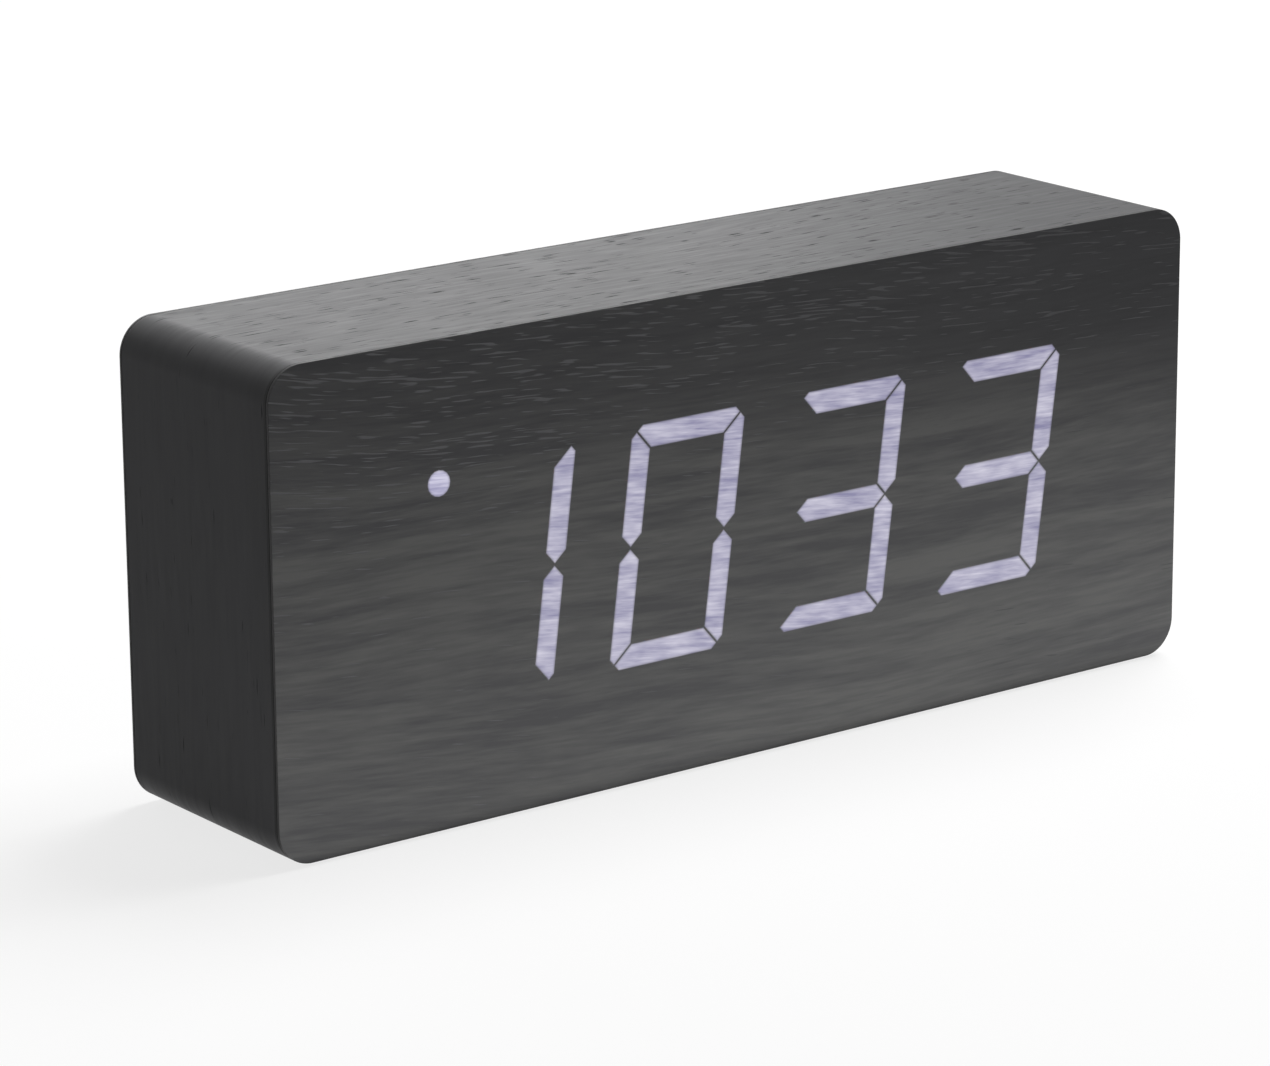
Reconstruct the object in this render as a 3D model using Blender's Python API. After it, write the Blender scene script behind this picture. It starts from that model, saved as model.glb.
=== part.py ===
"""Veneered block alarm clock with a four-digit light display behind its front.

Metres, +Z up. X runs to the right seen from the front, the front faces -Y, and the origin is
the middle of the footprint on the surface that the clock stands on.
"""

import math

import bmesh
import bpy
from mathutils import Matrix, Vector

for old in list(bpy.data.objects):
    bpy.data.objects.remove(old, do_unlink=True)

# Whole clock
WIDTH = 0.2100
WOOD_HEIGHT = 0.0894
DEPTH = 0.0475
CORNER_RADIUS = 0.0068
VENEER = 0.0006
EDGE_CHAMFER = 0.0002
GLUE_GAP = 0.00008
FIT_GAP = 0.0003
STACK_GAP = 0.0001
OVERRUN = 0.0010
ROOT_DEPTH = 0.0004
CORNER_STEPS = 8
SMALL_CORNER_STEPS = 3
HOLE_STEPS = 12
ROUND_STEPS = 24
CELL_STEPS = 20
COLLAR_STEPS = 16
SCREW_STEPS = 10
PIN_HOLE_STEPS = 8
SLOT_STEPS = 2

# Feet
FOOT_THICKNESS = 0.0006
FOOT_RADIUS = 0.0050
FOOT_INSET_X = 0.0180
FOOT_INSET_Y = 0.0105

# Block of fibreboard, milled out from behind
SIDE_WALL = 0.0190
TOP_WALL = 0.0147
POCKET_RADIUS = 0.0060
WINDOW_LEDGE_SIDE = 0.0090
WINDOW_LEDGE_TOP = 0.0045
WINDOW_RADIUS = 0.0015
COVER_LEDGE_SIDE = 0.0070
COVER_LEDGE_TOP = 0.0040
COVER_RADIUS = 0.0080

# Display stack, front to back
MASK_THICKNESS = 0.0015
GUIDE_WEB = 0.0008
REFLECTOR_THICKNESS = 0.0060
BOARD_THICKNESS = 0.0016
LENS_CLEARANCE = 0.0001
WELL_CLEARANCE = 0.0003
WELL_FLOOR_SHARE = 0.72
LED_SIZE = 0.0020
LED_HEIGHT = 0.0006

# Digits of the display
SHOWN_TIME = "1033"
LIT_BARS = {"0": "abcdef", "1": "bc", "3": "abcdg"}
FIRST_DIGIT_MARGIN = 0.00790
LAST_DIGIT_MARGIN = 0.00530
DIGIT_SPACE = 0.0127
DIGIT_MARGIN = 0.0029
DIGIT_DROP = 0.0002
DIGIT_LEAN = math.radians(7.5)
STROKE = 0.0042
BAR_GAP = 0.0005
CORNER_CUT = 0.0022
DOT_RADIUS = 0.0023
DOT_INSET = 0.0066
DOT_DROP = 0.0063
COLON_RADIUS = 0.0022
COLON_SPREAD = 0.0090
DOT_STEPS = 16

# Screws that hold the display to the front wall
DISPLAY_SCREW_RADIUS = 0.0010
DISPLAY_SCREW_HEAD_RADIUS = 0.0020
DISPLAY_SCREW_HEAD = 0.0013
DISPLAY_SCREW_MARGIN = 0.0008
DISPLAY_SCREW_INSET_X = 0.0045
DISPLAY_SCREW_INSET_Z = 0.0100

# Moulded rear cover
COVER_INSET = 0.0010
COVER_PLATE = 0.0026
COVER_SCREW_RADIUS = 0.00125
COVER_SCREW_HEAD_RADIUS = 0.0023
COVER_SCREW_HEAD = 0.0012
COVER_SCREW_SINK = 0.0015
COVER_SCREW_BITE = 0.0075
COVER_SCREW_INSET_X = 0.0036
COVER_SCREW_INSET_Z = 0.0080
VENT_COUNT = 5
VENT_WIDTH = 0.0012
VENT_HEIGHT = 0.0100
VENT_PITCH = 0.0030
SOUND_HOLE_RADIUS = 0.00075
SOUND_HOLE_COUNT = 6
SOUND_RING_RADIUS = 0.0032

# Cells and their compartment
CELL_COUNT = 3
CELL_RADIUS = 0.0052
CELL_BODY = 0.0437
CELL_NUB = 0.0008
CELL_NUB_RADIUS = 0.0019
CELL_EDGE = 0.0004
CELL_GAP = 0.0006
TUB_START = 0.0110
TUB_WALL = 0.0015
TUB_RADIUS = 0.0010
RIB_WIDTH = 0.0012
RIB_HEIGHT = 0.0014
RIB_LENGTH = 0.0060
DOOR_THICKNESS = 0.0016
DOOR_LAP = 0.0016
DOOR_SEAT_GAP = 0.0002
DOOR_RADIUS = 0.0018
DOOR_CELL_GAP = 0.0005
TONGUE_WIDTH = 0.0120
TONGUE_REACH = 0.0020
TAB_SPREAD = 0.0150
TAB_WIDTH = 0.0060
TAB_THICKNESS = 0.0009
TAB_REACH = 0.0013
TAB_ROOT = 0.0012
TAB_SWEEP = 0.0034
GRIP_COUNT = 4
GRIP_WIDTH = 0.0160
GRIP_HEIGHT = 0.0008
GRIP_PITCH = 0.0017
GRIP_DROP = 0.0030
GRIP_RAISE = 0.00025

# Spring contacts
CONTACT_THICKNESS = 0.0004
CONTACT_SIZE = 0.0088
DIMPLE_HEIGHT = 0.0006
DIMPLE_RADIUS = 0.0022
TAIL_WIDTH = 0.0030
TAIL_REACH = 0.0022
TAIL_SLOT_GAP = 0.0003
COIL_WIRE = 0.0005
COIL_TURNS = 4
COIL_LENGTH = 0.0042
COIL_BASE_RADIUS = 0.0036
COIL_TIP_RADIUS = 0.0022
COIL_POINTS = 8

# Control board behind the cover
BOARD_MARGIN_X = 0.0030
BOARD_MARGIN_Z = 0.0060
BOARD_INNER_EDGE = 0.0060
BOARD_CORNER = 0.0010
BOSS_RADIUS = 0.0030
BOSS_HOLE_RADIUS = 0.0012
BOSS_HOLE_DEPTH = 0.0050
BOSS_INSET = 0.0040
BOARD_SCREW_RADIUS = 0.0010
BOARD_SCREW_HEAD_RADIUS = 0.0020
BOARD_SCREW_HEAD = 0.0013
BOARD_SCREW_BITE = 0.0042

# Push buttons and their switches
BUTTON_NAMES = ("set", "up", "down")
BUTTON_RADIUS = 0.0036
BUTTON_PROUD = 0.0008
BUTTON_DOME = 0.0003
BUTTON_EDGE = 0.0005
BUTTON_SIDE_GAP = 0.0003
BUTTON_FLANGE_LIP = 0.0010
BUTTON_FLANGE = 0.0010
BUTTON_STEM_RADIUS = 0.0016
BUTTON_STEM = 0.0011
BUTTON_PITCH = 0.0170
BUTTON_INSET = 0.0140
BUTTON_RISE = 0.0070
COLLAR_WALL = 0.0010
COLLAR_HEIGHT = 0.0015
SWITCH_SIZE = 0.0060
SWITCH_HEIGHT = 0.0035
PLUNGER_RADIUS = 0.0017
PLUNGER_PROUD = 0.0010
PLUNGER_DEPTH = 0.0007
SWITCH_BORE_RADIUS = 0.0019
SWITCH_BORE_DEPTH = 0.0016

# Power socket
SOCKET_WIDTH = 0.0079
SOCKET_HEIGHT = 0.0031
SOCKET_SHELL = 0.0004
SOCKET_CAVITY = 0.0060
SOCKET_TONGUE = (0.0048, 0.0007)
SOCKET_RECESS = 0.0006
SOCKET_INSET = 0.0090
SOCKET_DROP = 0.0060
SOCKET_CORNER = 0.0006

# Small parts on the boards
BUZZER_RADIUS = 0.0060
BUZZER_HEIGHT = 0.0055
BUZZER_HOLE_RADIUS = 0.0010
BUZZER_HOLE_DEPTH = 0.0020
BUZZER_INSET = 0.0340
BUZZER_DROP = 0.0100
MICROPHONE_RADIUS = 0.0030
MICROPHONE_HEIGHT = 0.0022
MICROPHONE_INSET = 0.0130
MICROPHONE_DROP = 0.0100
MICROPHONE_HOLE_RADIUS = 0.0007
CHIP_SIZE = 0.0100
CHIP_HEIGHT = 0.0014
CHIP_EDGE = 0.0003
CHIP_INSET = 0.0380
CRYSTAL_RADIUS = 0.0011
CRYSTAL_LENGTH = 0.0060
CRYSTAL_INSET = 0.0520
CRYSTAL_RISE = 0.0070
CAPACITOR_RADIUS = 0.0031
CAPACITOR_HEIGHT = 0.0070
CAPACITOR_EDGE = 0.0004
CAPACITOR_INSET = 0.0200
CAPACITOR_DROP = 0.0090
SENSOR_RADIUS = 0.0012
SENSOR_LENGTH = 0.0030
SENSOR_INSET = 0.0640
CONNECTOR_WIDTH = 0.0120
CONNECTOR_DEPTH = 0.0050
CONNECTOR_HEIGHT = 0.0040
CONNECTOR_INSET = 0.0200
CONNECTOR_RISE = 0.0130
RIBBON_WIDTH = 0.0090
RIBBON_THICKNESS = 0.0007
RIBBON_BULGE = 0.0060
RIBBON_STEPS = 16
LEAD_RADIUS = 0.0006
LEAD_POINTS = 6
LEAD_SAG = 0.0015
LEAD_ELBOW = 0.0010
LEAD_PAD_INSET = 0.0040

# Planes and sizes that follow from the above
FRONT_Y = -DEPTH / 2
REAR_Y = DEPTH / 2
BASE_Z = FOOT_THICKNESS
MIDDLE_Z = BASE_Z + WOOD_HEIGHT / 2
SKIN = VENEER + GLUE_GAP
POCKET_WIDTH = WIDTH - 2 * SIDE_WALL
POCKET_HEIGHT = WOOD_HEIGHT - 2 * TOP_WALL
WINDOW_WIDTH = POCKET_WIDTH - 2 * WINDOW_LEDGE_SIDE
WINDOW_HEIGHT = POCKET_HEIGHT - 2 * WINDOW_LEDGE_TOP
MASK_WIDTH = WINDOW_WIDTH - 2 * FIT_GAP
MASK_HEIGHT = WINDOW_HEIGHT - 2 * FIT_GAP
MASK_FRONT = FRONT_Y + SKIN
MASK_BACK = MASK_FRONT + MASK_THICKNESS
DISPLAY_SCREW_TIP = MASK_FRONT + DISPLAY_SCREW_MARGIN
GUIDE_FRONT = MASK_BACK + STACK_GAP
GUIDE_BACK = GUIDE_FRONT + GUIDE_WEB
WALL_BACK = GUIDE_BACK + STACK_GAP
REFLECTOR_FRONT = WALL_BACK + STACK_GAP
REFLECTOR_BACK = REFLECTOR_FRONT + REFLECTOR_THICKNESS
DISPLAY_BOARD_FRONT = REFLECTOR_BACK + STACK_GAP
DISPLAY_BOARD_BACK = DISPLAY_BOARD_FRONT + BOARD_THICKNESS
MODULE_WIDTH = POCKET_WIDTH - 2 * FIT_GAP
MODULE_HEIGHT = POCKET_HEIGHT - 2 * FIT_GAP
MODULE_RADIUS = POCKET_RADIUS - FIT_GAP
DIGIT_ROW = MASK_WIDTH - FIRST_DIGIT_MARGIN - LAST_DIGIT_MARGIN
DIGIT_PITCH = (DIGIT_ROW + DIGIT_SPACE) / len(SHOWN_TIME)
DIGIT_WIDTH = DIGIT_PITCH - DIGIT_SPACE
FIRST_DIGIT_X = -MASK_WIDTH / 2 + FIRST_DIGIT_MARGIN + DIGIT_WIDTH / 2
LAST_DIGIT_X = MASK_WIDTH / 2 - LAST_DIGIT_MARGIN - DIGIT_WIDTH / 2
DIGIT_HEIGHT = MASK_HEIGHT - 2 * DIGIT_MARGIN
REBATE_WIDTH = POCKET_WIDTH + 2 * COVER_LEDGE_SIDE
REBATE_HEIGHT = POCKET_HEIGHT + 2 * COVER_LEDGE_TOP
COVER_BACK = REAR_Y - COVER_INSET
COVER_FRONT = COVER_BACK - COVER_PLATE
REBATE_Y = COVER_FRONT - STACK_GAP
CELL_Y = COVER_BACK - DOOR_THICKNESS - DOOR_CELL_GAP - CELL_RADIUS
CELL_PITCH = 2 * CELL_RADIUS + CELL_GAP
TUB_FLOOR = CELL_Y - CELL_RADIUS - FIT_GAP
PLATE_ROOM = STACK_GAP + CONTACT_THICKNESS
TUB_LENGTH = PLATE_ROOM + DIMPLE_HEIGHT + CELL_BODY + CELL_NUB + COIL_LENGTH + PLATE_ROOM + 2 * FIT_GAP
TUB_HEIGHT = (CELL_COUNT - 1) * CELL_PITCH + 2 * CELL_RADIUS + 2 * FIT_GAP
TUB_END = TUB_START + TUB_LENGTH
TUB_MIDDLE = (TUB_START + TUB_END) / 2
DOOR_WIDTH = TUB_LENGTH + 2 * DOOR_LAP
DOOR_HEIGHT = TUB_HEIGHT + 2 * DOOR_LAP
DOOR_BOTTOM = MIDDLE_Z - DOOR_HEIGHT / 2
DOOR_TOP = MIDDLE_Z + DOOR_HEIGHT / 2
DOOR_FRONT = COVER_BACK - DOOR_THICKNESS
TAB_BACK = DOOR_FRONT + ROOT_DEPTH
BUTTON_FLANGE_RADIUS = BUTTON_RADIUS + BUTTON_FLANGE_LIP
FLANGE_BACK = COVER_FRONT - FIT_GAP
FLANGE_FRONT = FLANGE_BACK - BUTTON_FLANGE
STEM_END = FLANGE_FRONT - BUTTON_STEM
PLUNGER_TOP = STEM_END - STACK_GAP
SWITCH_TOP = PLUNGER_TOP - PLUNGER_PROUD
BOARD_BACK = SWITCH_TOP - SWITCH_HEIGHT - STACK_GAP
BOARD_FRONT = BOARD_BACK - BOARD_THICKNESS
BOARD_LEFT = -POCKET_WIDTH / 2 + BOARD_MARGIN_X
BOARD_RIGHT = -BOARD_INNER_EDGE
BOARD_BOTTOM = MIDDLE_Z - POCKET_HEIGHT / 2 + BOARD_MARGIN_Z
BOARD_TOP = MIDDLE_Z + POCKET_HEIGHT / 2 - BOARD_MARGIN_Z
BUTTON_Z = MIDDLE_Z + BUTTON_RISE
SOCKET_X = BOARD_LEFT + SOCKET_INSET
SOCKET_Z = MIDDLE_Z - SOCKET_DROP
BUZZER_X = BOARD_RIGHT - BUZZER_INSET
BUZZER_Z = MIDDLE_Z - BUZZER_DROP
MICROPHONE_X = BOARD_RIGHT - MICROPHONE_INSET
MICROPHONE_Z = MIDDLE_Z - MICROPHONE_DROP
CONNECTOR_X = BOARD_RIGHT - CONNECTOR_INSET

FRONT_TO_BACK = Matrix.Identity(4)
LEFT_TO_RIGHT = Matrix.Rotation(-math.pi / 2, 4, "Z")
TOP_TO_BOTTOM = Matrix.Rotation(-math.pi / 2, 4, "X")


def material(name, colour, roughness, metallic=0.0):
    made = bpy.data.materials.new(name)
    made.use_nodes = True
    shader = made.node_tree.nodes["Principled BSDF"]
    shader.inputs["Base Color"].default_value = (*colour, 1.0)
    shader.inputs["Roughness"].default_value = roughness
    shader.inputs["Metallic"].default_value = metallic
    made.diffuse_color = (*colour, 1.0)
    return made


VENEER_FINISH = material("charcoal_veneer", (0.075, 0.075, 0.078), 0.55)
FIBREBOARD = material("fibreboard", (0.32, 0.20, 0.11), 0.85)
FOOT_FOAM = material("foot_foam", (0.03, 0.03, 0.03), 0.9)
MASK_PLASTIC = material("mask_plastic", (0.012, 0.012, 0.012), 0.6)
LIGHT_PLASTIC = material("light_guide_plastic", (0.45, 0.43, 0.55), 0.35)
WHITE_PLASTIC = material("white_plastic", (0.75, 0.75, 0.73), 0.5)
BOARD_LAMINATE = material("board_laminate", (0.02, 0.11, 0.05), 0.45)
BLACK_PLASTIC = material("black_moulding", (0.018, 0.018, 0.019), 0.5)
SCREW_STEEL = material("screw_steel", (0.32, 0.32, 0.33), 0.35, 1.0)
CONTACT_STEEL = material("nickelled_steel", (0.62, 0.61, 0.58), 0.3, 1.0)
CELL_WRAP = material("cell_wrap", (0.10, 0.11, 0.13), 0.35)
CHIP_PLASTIC = material("chip_plastic", (0.02, 0.02, 0.022), 0.6)
CAN_METAL = material("can_metal", (0.6, 0.6, 0.6), 0.3, 1.0)
RIBBON_PLASTIC = material("ribbon_plastic", (0.42, 0.42, 0.42), 0.5)
RED_SLEEVE = material("red_sleeve", (0.45, 0.02, 0.02), 0.45)
BLACK_SLEEVE = material("black_sleeve", (0.02, 0.02, 0.02), 0.45)


def empty(name, parent=None):
    holder = bpy.data.objects.new(name, None)
    bpy.context.scene.collection.objects.link(holder)
    holder.parent = parent
    return holder


CLOCK = empty("clock")
CASE = empty("case", CLOCK)
DISPLAY = empty("display", CLOCK)
REAR = empty("rear", CLOCK)


def make_object(name, bm, origin):
    bmesh.ops.recalc_face_normals(bm, faces=bm.faces)
    mesh = bpy.data.meshes.new(name)
    bm.to_mesh(mesh)
    bm.free()
    mesh.transform(Matrix.Translation(-Vector(origin)))
    made = bpy.data.objects.new(name, mesh)
    made.location = origin
    bpy.context.scene.collection.objects.link(made)
    return made


def piece(name, bm, finish, parent, origin=(0.0, 0.0, 0.0), smooth=False):
    """One separate solid of the clock, from the shapes in bm."""
    made = make_object(name, bm, origin)
    made.data.materials.append(finish)
    made.parent = parent
    if smooth:
        made.data.shade_smooth()
        made.data.set_sharp_from_angle(angle=math.radians(35.0))
    return made


def combine(target, operation, bm, overlapping=False):
    """Adds a Boolean to the target, with the shapes in bm as its hidden second body."""
    tool = make_object(f"{target.name}_{operation.lower()}_{len(target.modifiers)}", bm, (0.0, 0.0, 0.0))
    tool.hide_render = True
    tool.display_type = "WIRE"
    step = target.modifiers.new(operation.title(), "BOOLEAN")
    step.operation = operation
    step.solver = "EXACT"
    step.use_self = overlapping
    step.object = tool


def rectangle(width, height, radius, centre=(0.0, 0.0), steps=CORNER_STEPS):
    """Points of an upright rectangle with round corners, counter-clockwise from the lower right."""
    points = []
    quarters = ((1, -1), (1, 1), (-1, 1), (-1, -1))
    for quarter, (side, level) in enumerate(quarters):
        middle_x = centre[0] + side * (width / 2 - radius)
        middle_z = centre[1] + level * (height / 2 - radius)
        for step in range(steps + 1):
            angle = (quarter - 1 + step / steps) * math.pi / 2
            points.append((middle_x + radius * math.cos(angle), middle_z + radius * math.sin(angle)))
    return points


def circle(radius, centre, steps=HOLE_STEPS):
    turns = [math.tau * step / steps for step in range(steps)]
    return [(centre[0] + radius * math.cos(turn), centre[1] + radius * math.sin(turn)) for turn in turns]


def add_loft(bm, sections):
    """Closed solid through outlines of equal point count, each given with its plane's Y."""
    rings = [[bm.verts.new((x, level, z)) for x, z in outline] for outline, level in sections]
    for ring, following in zip(rings, rings[1:]):
        for index in range(len(ring)):
            after = (index + 1) % len(ring)
            bm.faces.new((ring[index], ring[after], following[after], following[index]))
    bm.faces.new(rings[0])
    bm.faces.new(rings[-1])


def add_prism(bm, outline, front, back):
    add_loft(bm, [(outline, front), (outline, back)])


def add_box(bm, low, high):
    outline = [(low[0], low[2]), (high[0], low[2]), (high[0], high[2]), (low[0], high[2])]
    add_prism(bm, outline, low[1], high[1])


def add_frame(bm, outer, inner, front, back):
    """Closed band between two outlines of equal point count."""
    rings = []
    for outline, level in ((outer, front), (outer, back), (inner, back), (inner, front)):
        rings.append([bm.verts.new((x, level, z)) for x, z in outline])
    for ring, following in zip(rings, rings[1:] + rings[:1]):
        for index in range(len(ring)):
            after = (index + 1) % len(ring)
            bm.faces.new((ring[index], ring[after], following[after], following[index]))


def add_turned(bm, profile, centre, turn=FRONT_TO_BACK, steps=ROUND_STEPS):
    """Closed solid of revolution. The profile lists (radius, place along the axis), with both
    ends on the axis left out: flat ends are filled."""
    move = Matrix.Translation(Vector(centre)) @ turn
    rings = []
    for radius, place in profile:
        ring = []
        for step in range(steps):
            angle = math.tau * step / steps
            point = Vector((radius * math.cos(angle), place, radius * math.sin(angle)))
            ring.append(bm.verts.new(move @ point))
        rings.append(ring)
    for ring, following in zip(rings, rings[1:]):
        for index in range(steps):
            after = (index + 1) % steps
            bm.faces.new((ring[index], ring[after], following[after], following[index]))
    bm.faces.new(rings[0])
    bm.faces.new(rings[-1])


def new_shape():
    return bmesh.new()


def mirrored(outline):
    return [(-u, v) for u, v in reversed(outline)]


def flipped(outline):
    return [(u, -v) for u, v in reversed(outline)]


def grown(outline, margin):
    """The convex outline moved outwards by the margin on every side."""
    lines = []
    for (u0, v0), (u1, v1) in zip(outline, outline[1:] + outline[:1]):
        length = math.hypot(u1 - u0, v1 - v0)
        normal = ((v1 - v0) / length, (u0 - u1) / length)
        lines.append((normal, normal[0] * u0 + normal[1] * v0 + margin))
    moved = []
    for (before, reach), (after, next_reach) in zip(lines[-1:] + lines[:-1], lines):
        cross = before[0] * after[1] - before[1] * after[0]
        u = (reach * after[1] - next_reach * before[1]) / cross
        v = (next_reach * before[0] - reach * after[0]) / cross
        moved.append((u, v))
    return moved


def centroid(outline):
    return (sum(u for u, _ in outline) / len(outline), sum(v for _, v in outline) / len(outline))


def shrunk(outline, share):
    middle = centroid(outline)
    return [(middle[0] + (u - middle[0]) * share, middle[1] + (v - middle[1]) * share) for u, v in outline]


def digit_bars(centre_x):
    """Outlines of the seven bars of one digit, a at the top and then clockwise to f, g across.
    Bars meet along mitres, and end in square points at the waist."""
    side = DIGIT_WIDTH / 2
    top = DIGIT_HEIGHT / 2
    half = STROKE / 2
    mitre = BAR_GAP / math.sqrt(2.0)
    near = (CORNER_CUT - mitre) / 2
    far = (CORNER_CUT + mitre) / 2
    inner = side - STROKE
    reach = side - half - mitre
    bar_a = [
        (-(inner - mitre), top - STROKE),
        (inner - mitre, top - STROKE),
        (side - far, top - near),
        (side - CORNER_CUT, top),
        (-(side - CORNER_CUT), top),
        (-(side - far), top - near),
    ]
    bar_b = [
        (side - half, mitre),
        (side, mitre + half),
        (side, top - CORNER_CUT),
        (side - near, top - far),
        (inner, top - STROKE - mitre),
        (inner, mitre + half),
    ]
    bar_c = flipped(bar_b)
    bar_g = [
        (-(reach - half), -half),
        (reach - half, -half),
        (reach, 0.0),
        (reach - half, half),
        (-(reach - half), half),
        (-reach, 0.0),
    ]
    upright = {
        "a": bar_a,
        "b": bar_b,
        "c": bar_c,
        "d": flipped(bar_a),
        "e": mirrored(bar_c),
        "f": mirrored(bar_b),
        "g": bar_g,
    }
    lean = math.tan(DIGIT_LEAN)
    leaning = {}
    for bar, outline in upright.items():
        leaning[bar] = [(centre_x + u + v * lean, MIDDLE_Z - DIGIT_DROP + v) for u, v in outline]
    return leaning


def display_lights():
    """Every light of the display as (outline, lit, place of its light chip)."""
    lights = []
    lean = math.tan(DIGIT_LEAN)
    for place, shown in enumerate(SHOWN_TIME):
        for bar, outline in digit_bars(FIRST_DIGIT_X + place * DIGIT_PITCH).items():
            lights.append((outline, bar in LIT_BARS[shown], centroid(outline)))
    dot = (-MASK_WIDTH / 2 + DOT_INSET, MIDDLE_Z + MASK_HEIGHT / 2 - DOT_DROP)
    lights.append((circle(DOT_RADIUS, dot, DOT_STEPS), True, dot))
    colon_x = (FIRST_DIGIT_X + LAST_DIGIT_X) / 2
    for rise in (-COLON_SPREAD, COLON_SPREAD):
        colon = (colon_x + rise * lean, MIDDLE_Z - DIGIT_DROP + rise)
        lights.append((circle(COLON_RADIUS, colon, DOT_STEPS), False, colon))
    return lights


LIGHTS = display_lights()


def four_corners(half_width, half_height):
    return [(side * half_width, MIDDLE_Z + level * half_height) for level in (-1, 1) for side in (-1, 1)]


DISPLAY_SCREWS = four_corners(
    POCKET_WIDTH / 2 - DISPLAY_SCREW_INSET_X, POCKET_HEIGHT / 2 - DISPLAY_SCREW_INSET_Z
)
COVER_SCREWS = four_corners(
    REBATE_WIDTH / 2 - COVER_SCREW_INSET_X, REBATE_HEIGHT / 2 - COVER_SCREW_INSET_Z
)
BOSSES = [
    (BOARD_LEFT + BOSS_INSET, BOARD_TOP - BOSS_INSET),
    (BOARD_LEFT + BOSS_INSET, BOARD_BOTTOM + BOSS_INSET),
    (BOARD_RIGHT - BOSS_INSET, BOARD_TOP - BOSS_INSET),
    (BOARD_RIGHT - BOSS_INSET, BOARD_BOTTOM + BOSS_INSET),
]
BUTTON_PLACES = [BOARD_RIGHT - BUTTON_INSET - place * BUTTON_PITCH for place in range(len(BUTTON_NAMES))]
CELL_LEVELS = [MIDDLE_Z + (place - (CELL_COUNT - 1) / 2) * CELL_PITCH for place in range(CELL_COUNT)]


# Case: block, veneers and feet
def outer_outline(inset):
    return rectangle(WIDTH - 2 * inset, WOOD_HEIGHT - 2 * inset, CORNER_RADIUS - inset, (0.0, MIDDLE_Z))


def make_case_body():
    bm = new_shape()
    add_prism(bm, outer_outline(SKIN), FRONT_Y + SKIN, REAR_Y - SKIN)
    body = piece("case_body", bm, FIBREBOARD, CASE, smooth=True)
    bm = new_shape()
    middle = (0.0, MIDDLE_Z)
    pocket = rectangle(POCKET_WIDTH, POCKET_HEIGHT, POCKET_RADIUS, middle, SMALL_CORNER_STEPS)
    window = rectangle(WINDOW_WIDTH, WINDOW_HEIGHT, WINDOW_RADIUS, middle, SMALL_CORNER_STEPS)
    rebate = rectangle(REBATE_WIDTH, REBATE_HEIGHT, COVER_RADIUS, middle)
    add_prism(bm, pocket, WALL_BACK, REAR_Y)
    add_prism(bm, window, FRONT_Y, WALL_BACK + OVERRUN)
    add_prism(bm, rebate, REBATE_Y, REAR_Y + OVERRUN)
    for place in DISPLAY_SCREWS:
        hole = circle(DISPLAY_SCREW_RADIUS + LENS_CLEARANCE, place)
        add_prism(bm, hole, DISPLAY_SCREW_TIP - LENS_CLEARANCE, WALL_BACK + OVERRUN)
    for place in COVER_SCREWS:
        hole = circle(COVER_SCREW_RADIUS + LENS_CLEARANCE, place)
        add_prism(bm, hole, REBATE_Y - COVER_SCREW_BITE - FIT_GAP, REBATE_Y + OVERRUN)
    combine(body, "DIFFERENCE", bm, overlapping=True)


def make_front_veneer():
    bm = new_shape()
    add_loft(
        bm,
        [
            (outer_outline(EDGE_CHAMFER), FRONT_Y),
            (outer_outline(0.0), FRONT_Y + EDGE_CHAMFER),
            (outer_outline(0.0), FRONT_Y + VENEER),
        ],
    )
    veneer = piece("front_veneer", bm, VENEER_FINISH, CASE)
    bm = new_shape()
    for outline, lit, _ in LIGHTS:
        if lit:
            add_prism(bm, grown(outline, LENS_CLEARANCE), FRONT_Y - OVERRUN, FRONT_Y + VENEER + OVERRUN)
    combine(veneer, "DIFFERENCE", bm)


def make_wrap_veneer():
    bm = new_shape()
    add_frame(bm, outer_outline(0.0), outer_outline(VENEER), FRONT_Y + SKIN, REAR_Y - SKIN)
    piece("wrap_veneer", bm, VENEER_FINISH, CASE, smooth=True)


def make_rear_veneer():
    bm = new_shape()
    opening = rectangle(REBATE_WIDTH, REBATE_HEIGHT, COVER_RADIUS, (0.0, MIDDLE_Z))
    chamfered = outer_outline(EDGE_CHAMFER)
    full = outer_outline(0.0)
    rings = []
    levels = (
        (full, REAR_Y - VENEER),
        (full, REAR_Y - EDGE_CHAMFER),
        (chamfered, REAR_Y),
        (opening, REAR_Y),
        (opening, REAR_Y - VENEER),
    )
    for outline, level in levels:
        rings.append([bm.verts.new((x, level, z)) for x, z in outline])
    for ring, following in zip(rings, rings[1:] + rings[:1]):
        for index in range(len(ring)):
            after = (index + 1) % len(ring)
            bm.faces.new((ring[index], ring[after], following[after], following[index]))
    piece("rear_veneer", bm, VENEER_FINISH, CASE)


def make_feet():
    number = 0
    for level in (-1, 1):
        for side in (-1, 1):
            number += 1
            centre = (
                side * (WIDTH / 2 - FOOT_INSET_X),
                level * (DEPTH / 2 - FOOT_INSET_Y),
                0.0,
            )
            bm = new_shape()
            profile = [(FOOT_RADIUS, 0.0), (FOOT_RADIUS, FOOT_THICKNESS - GLUE_GAP)]
            add_turned(bm, profile, centre, Matrix.Rotation(math.pi / 2, 4, "X"))
            piece(f"foot_pad_{number}", bm, FOOT_FOAM, CASE, centre, smooth=True)


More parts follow.
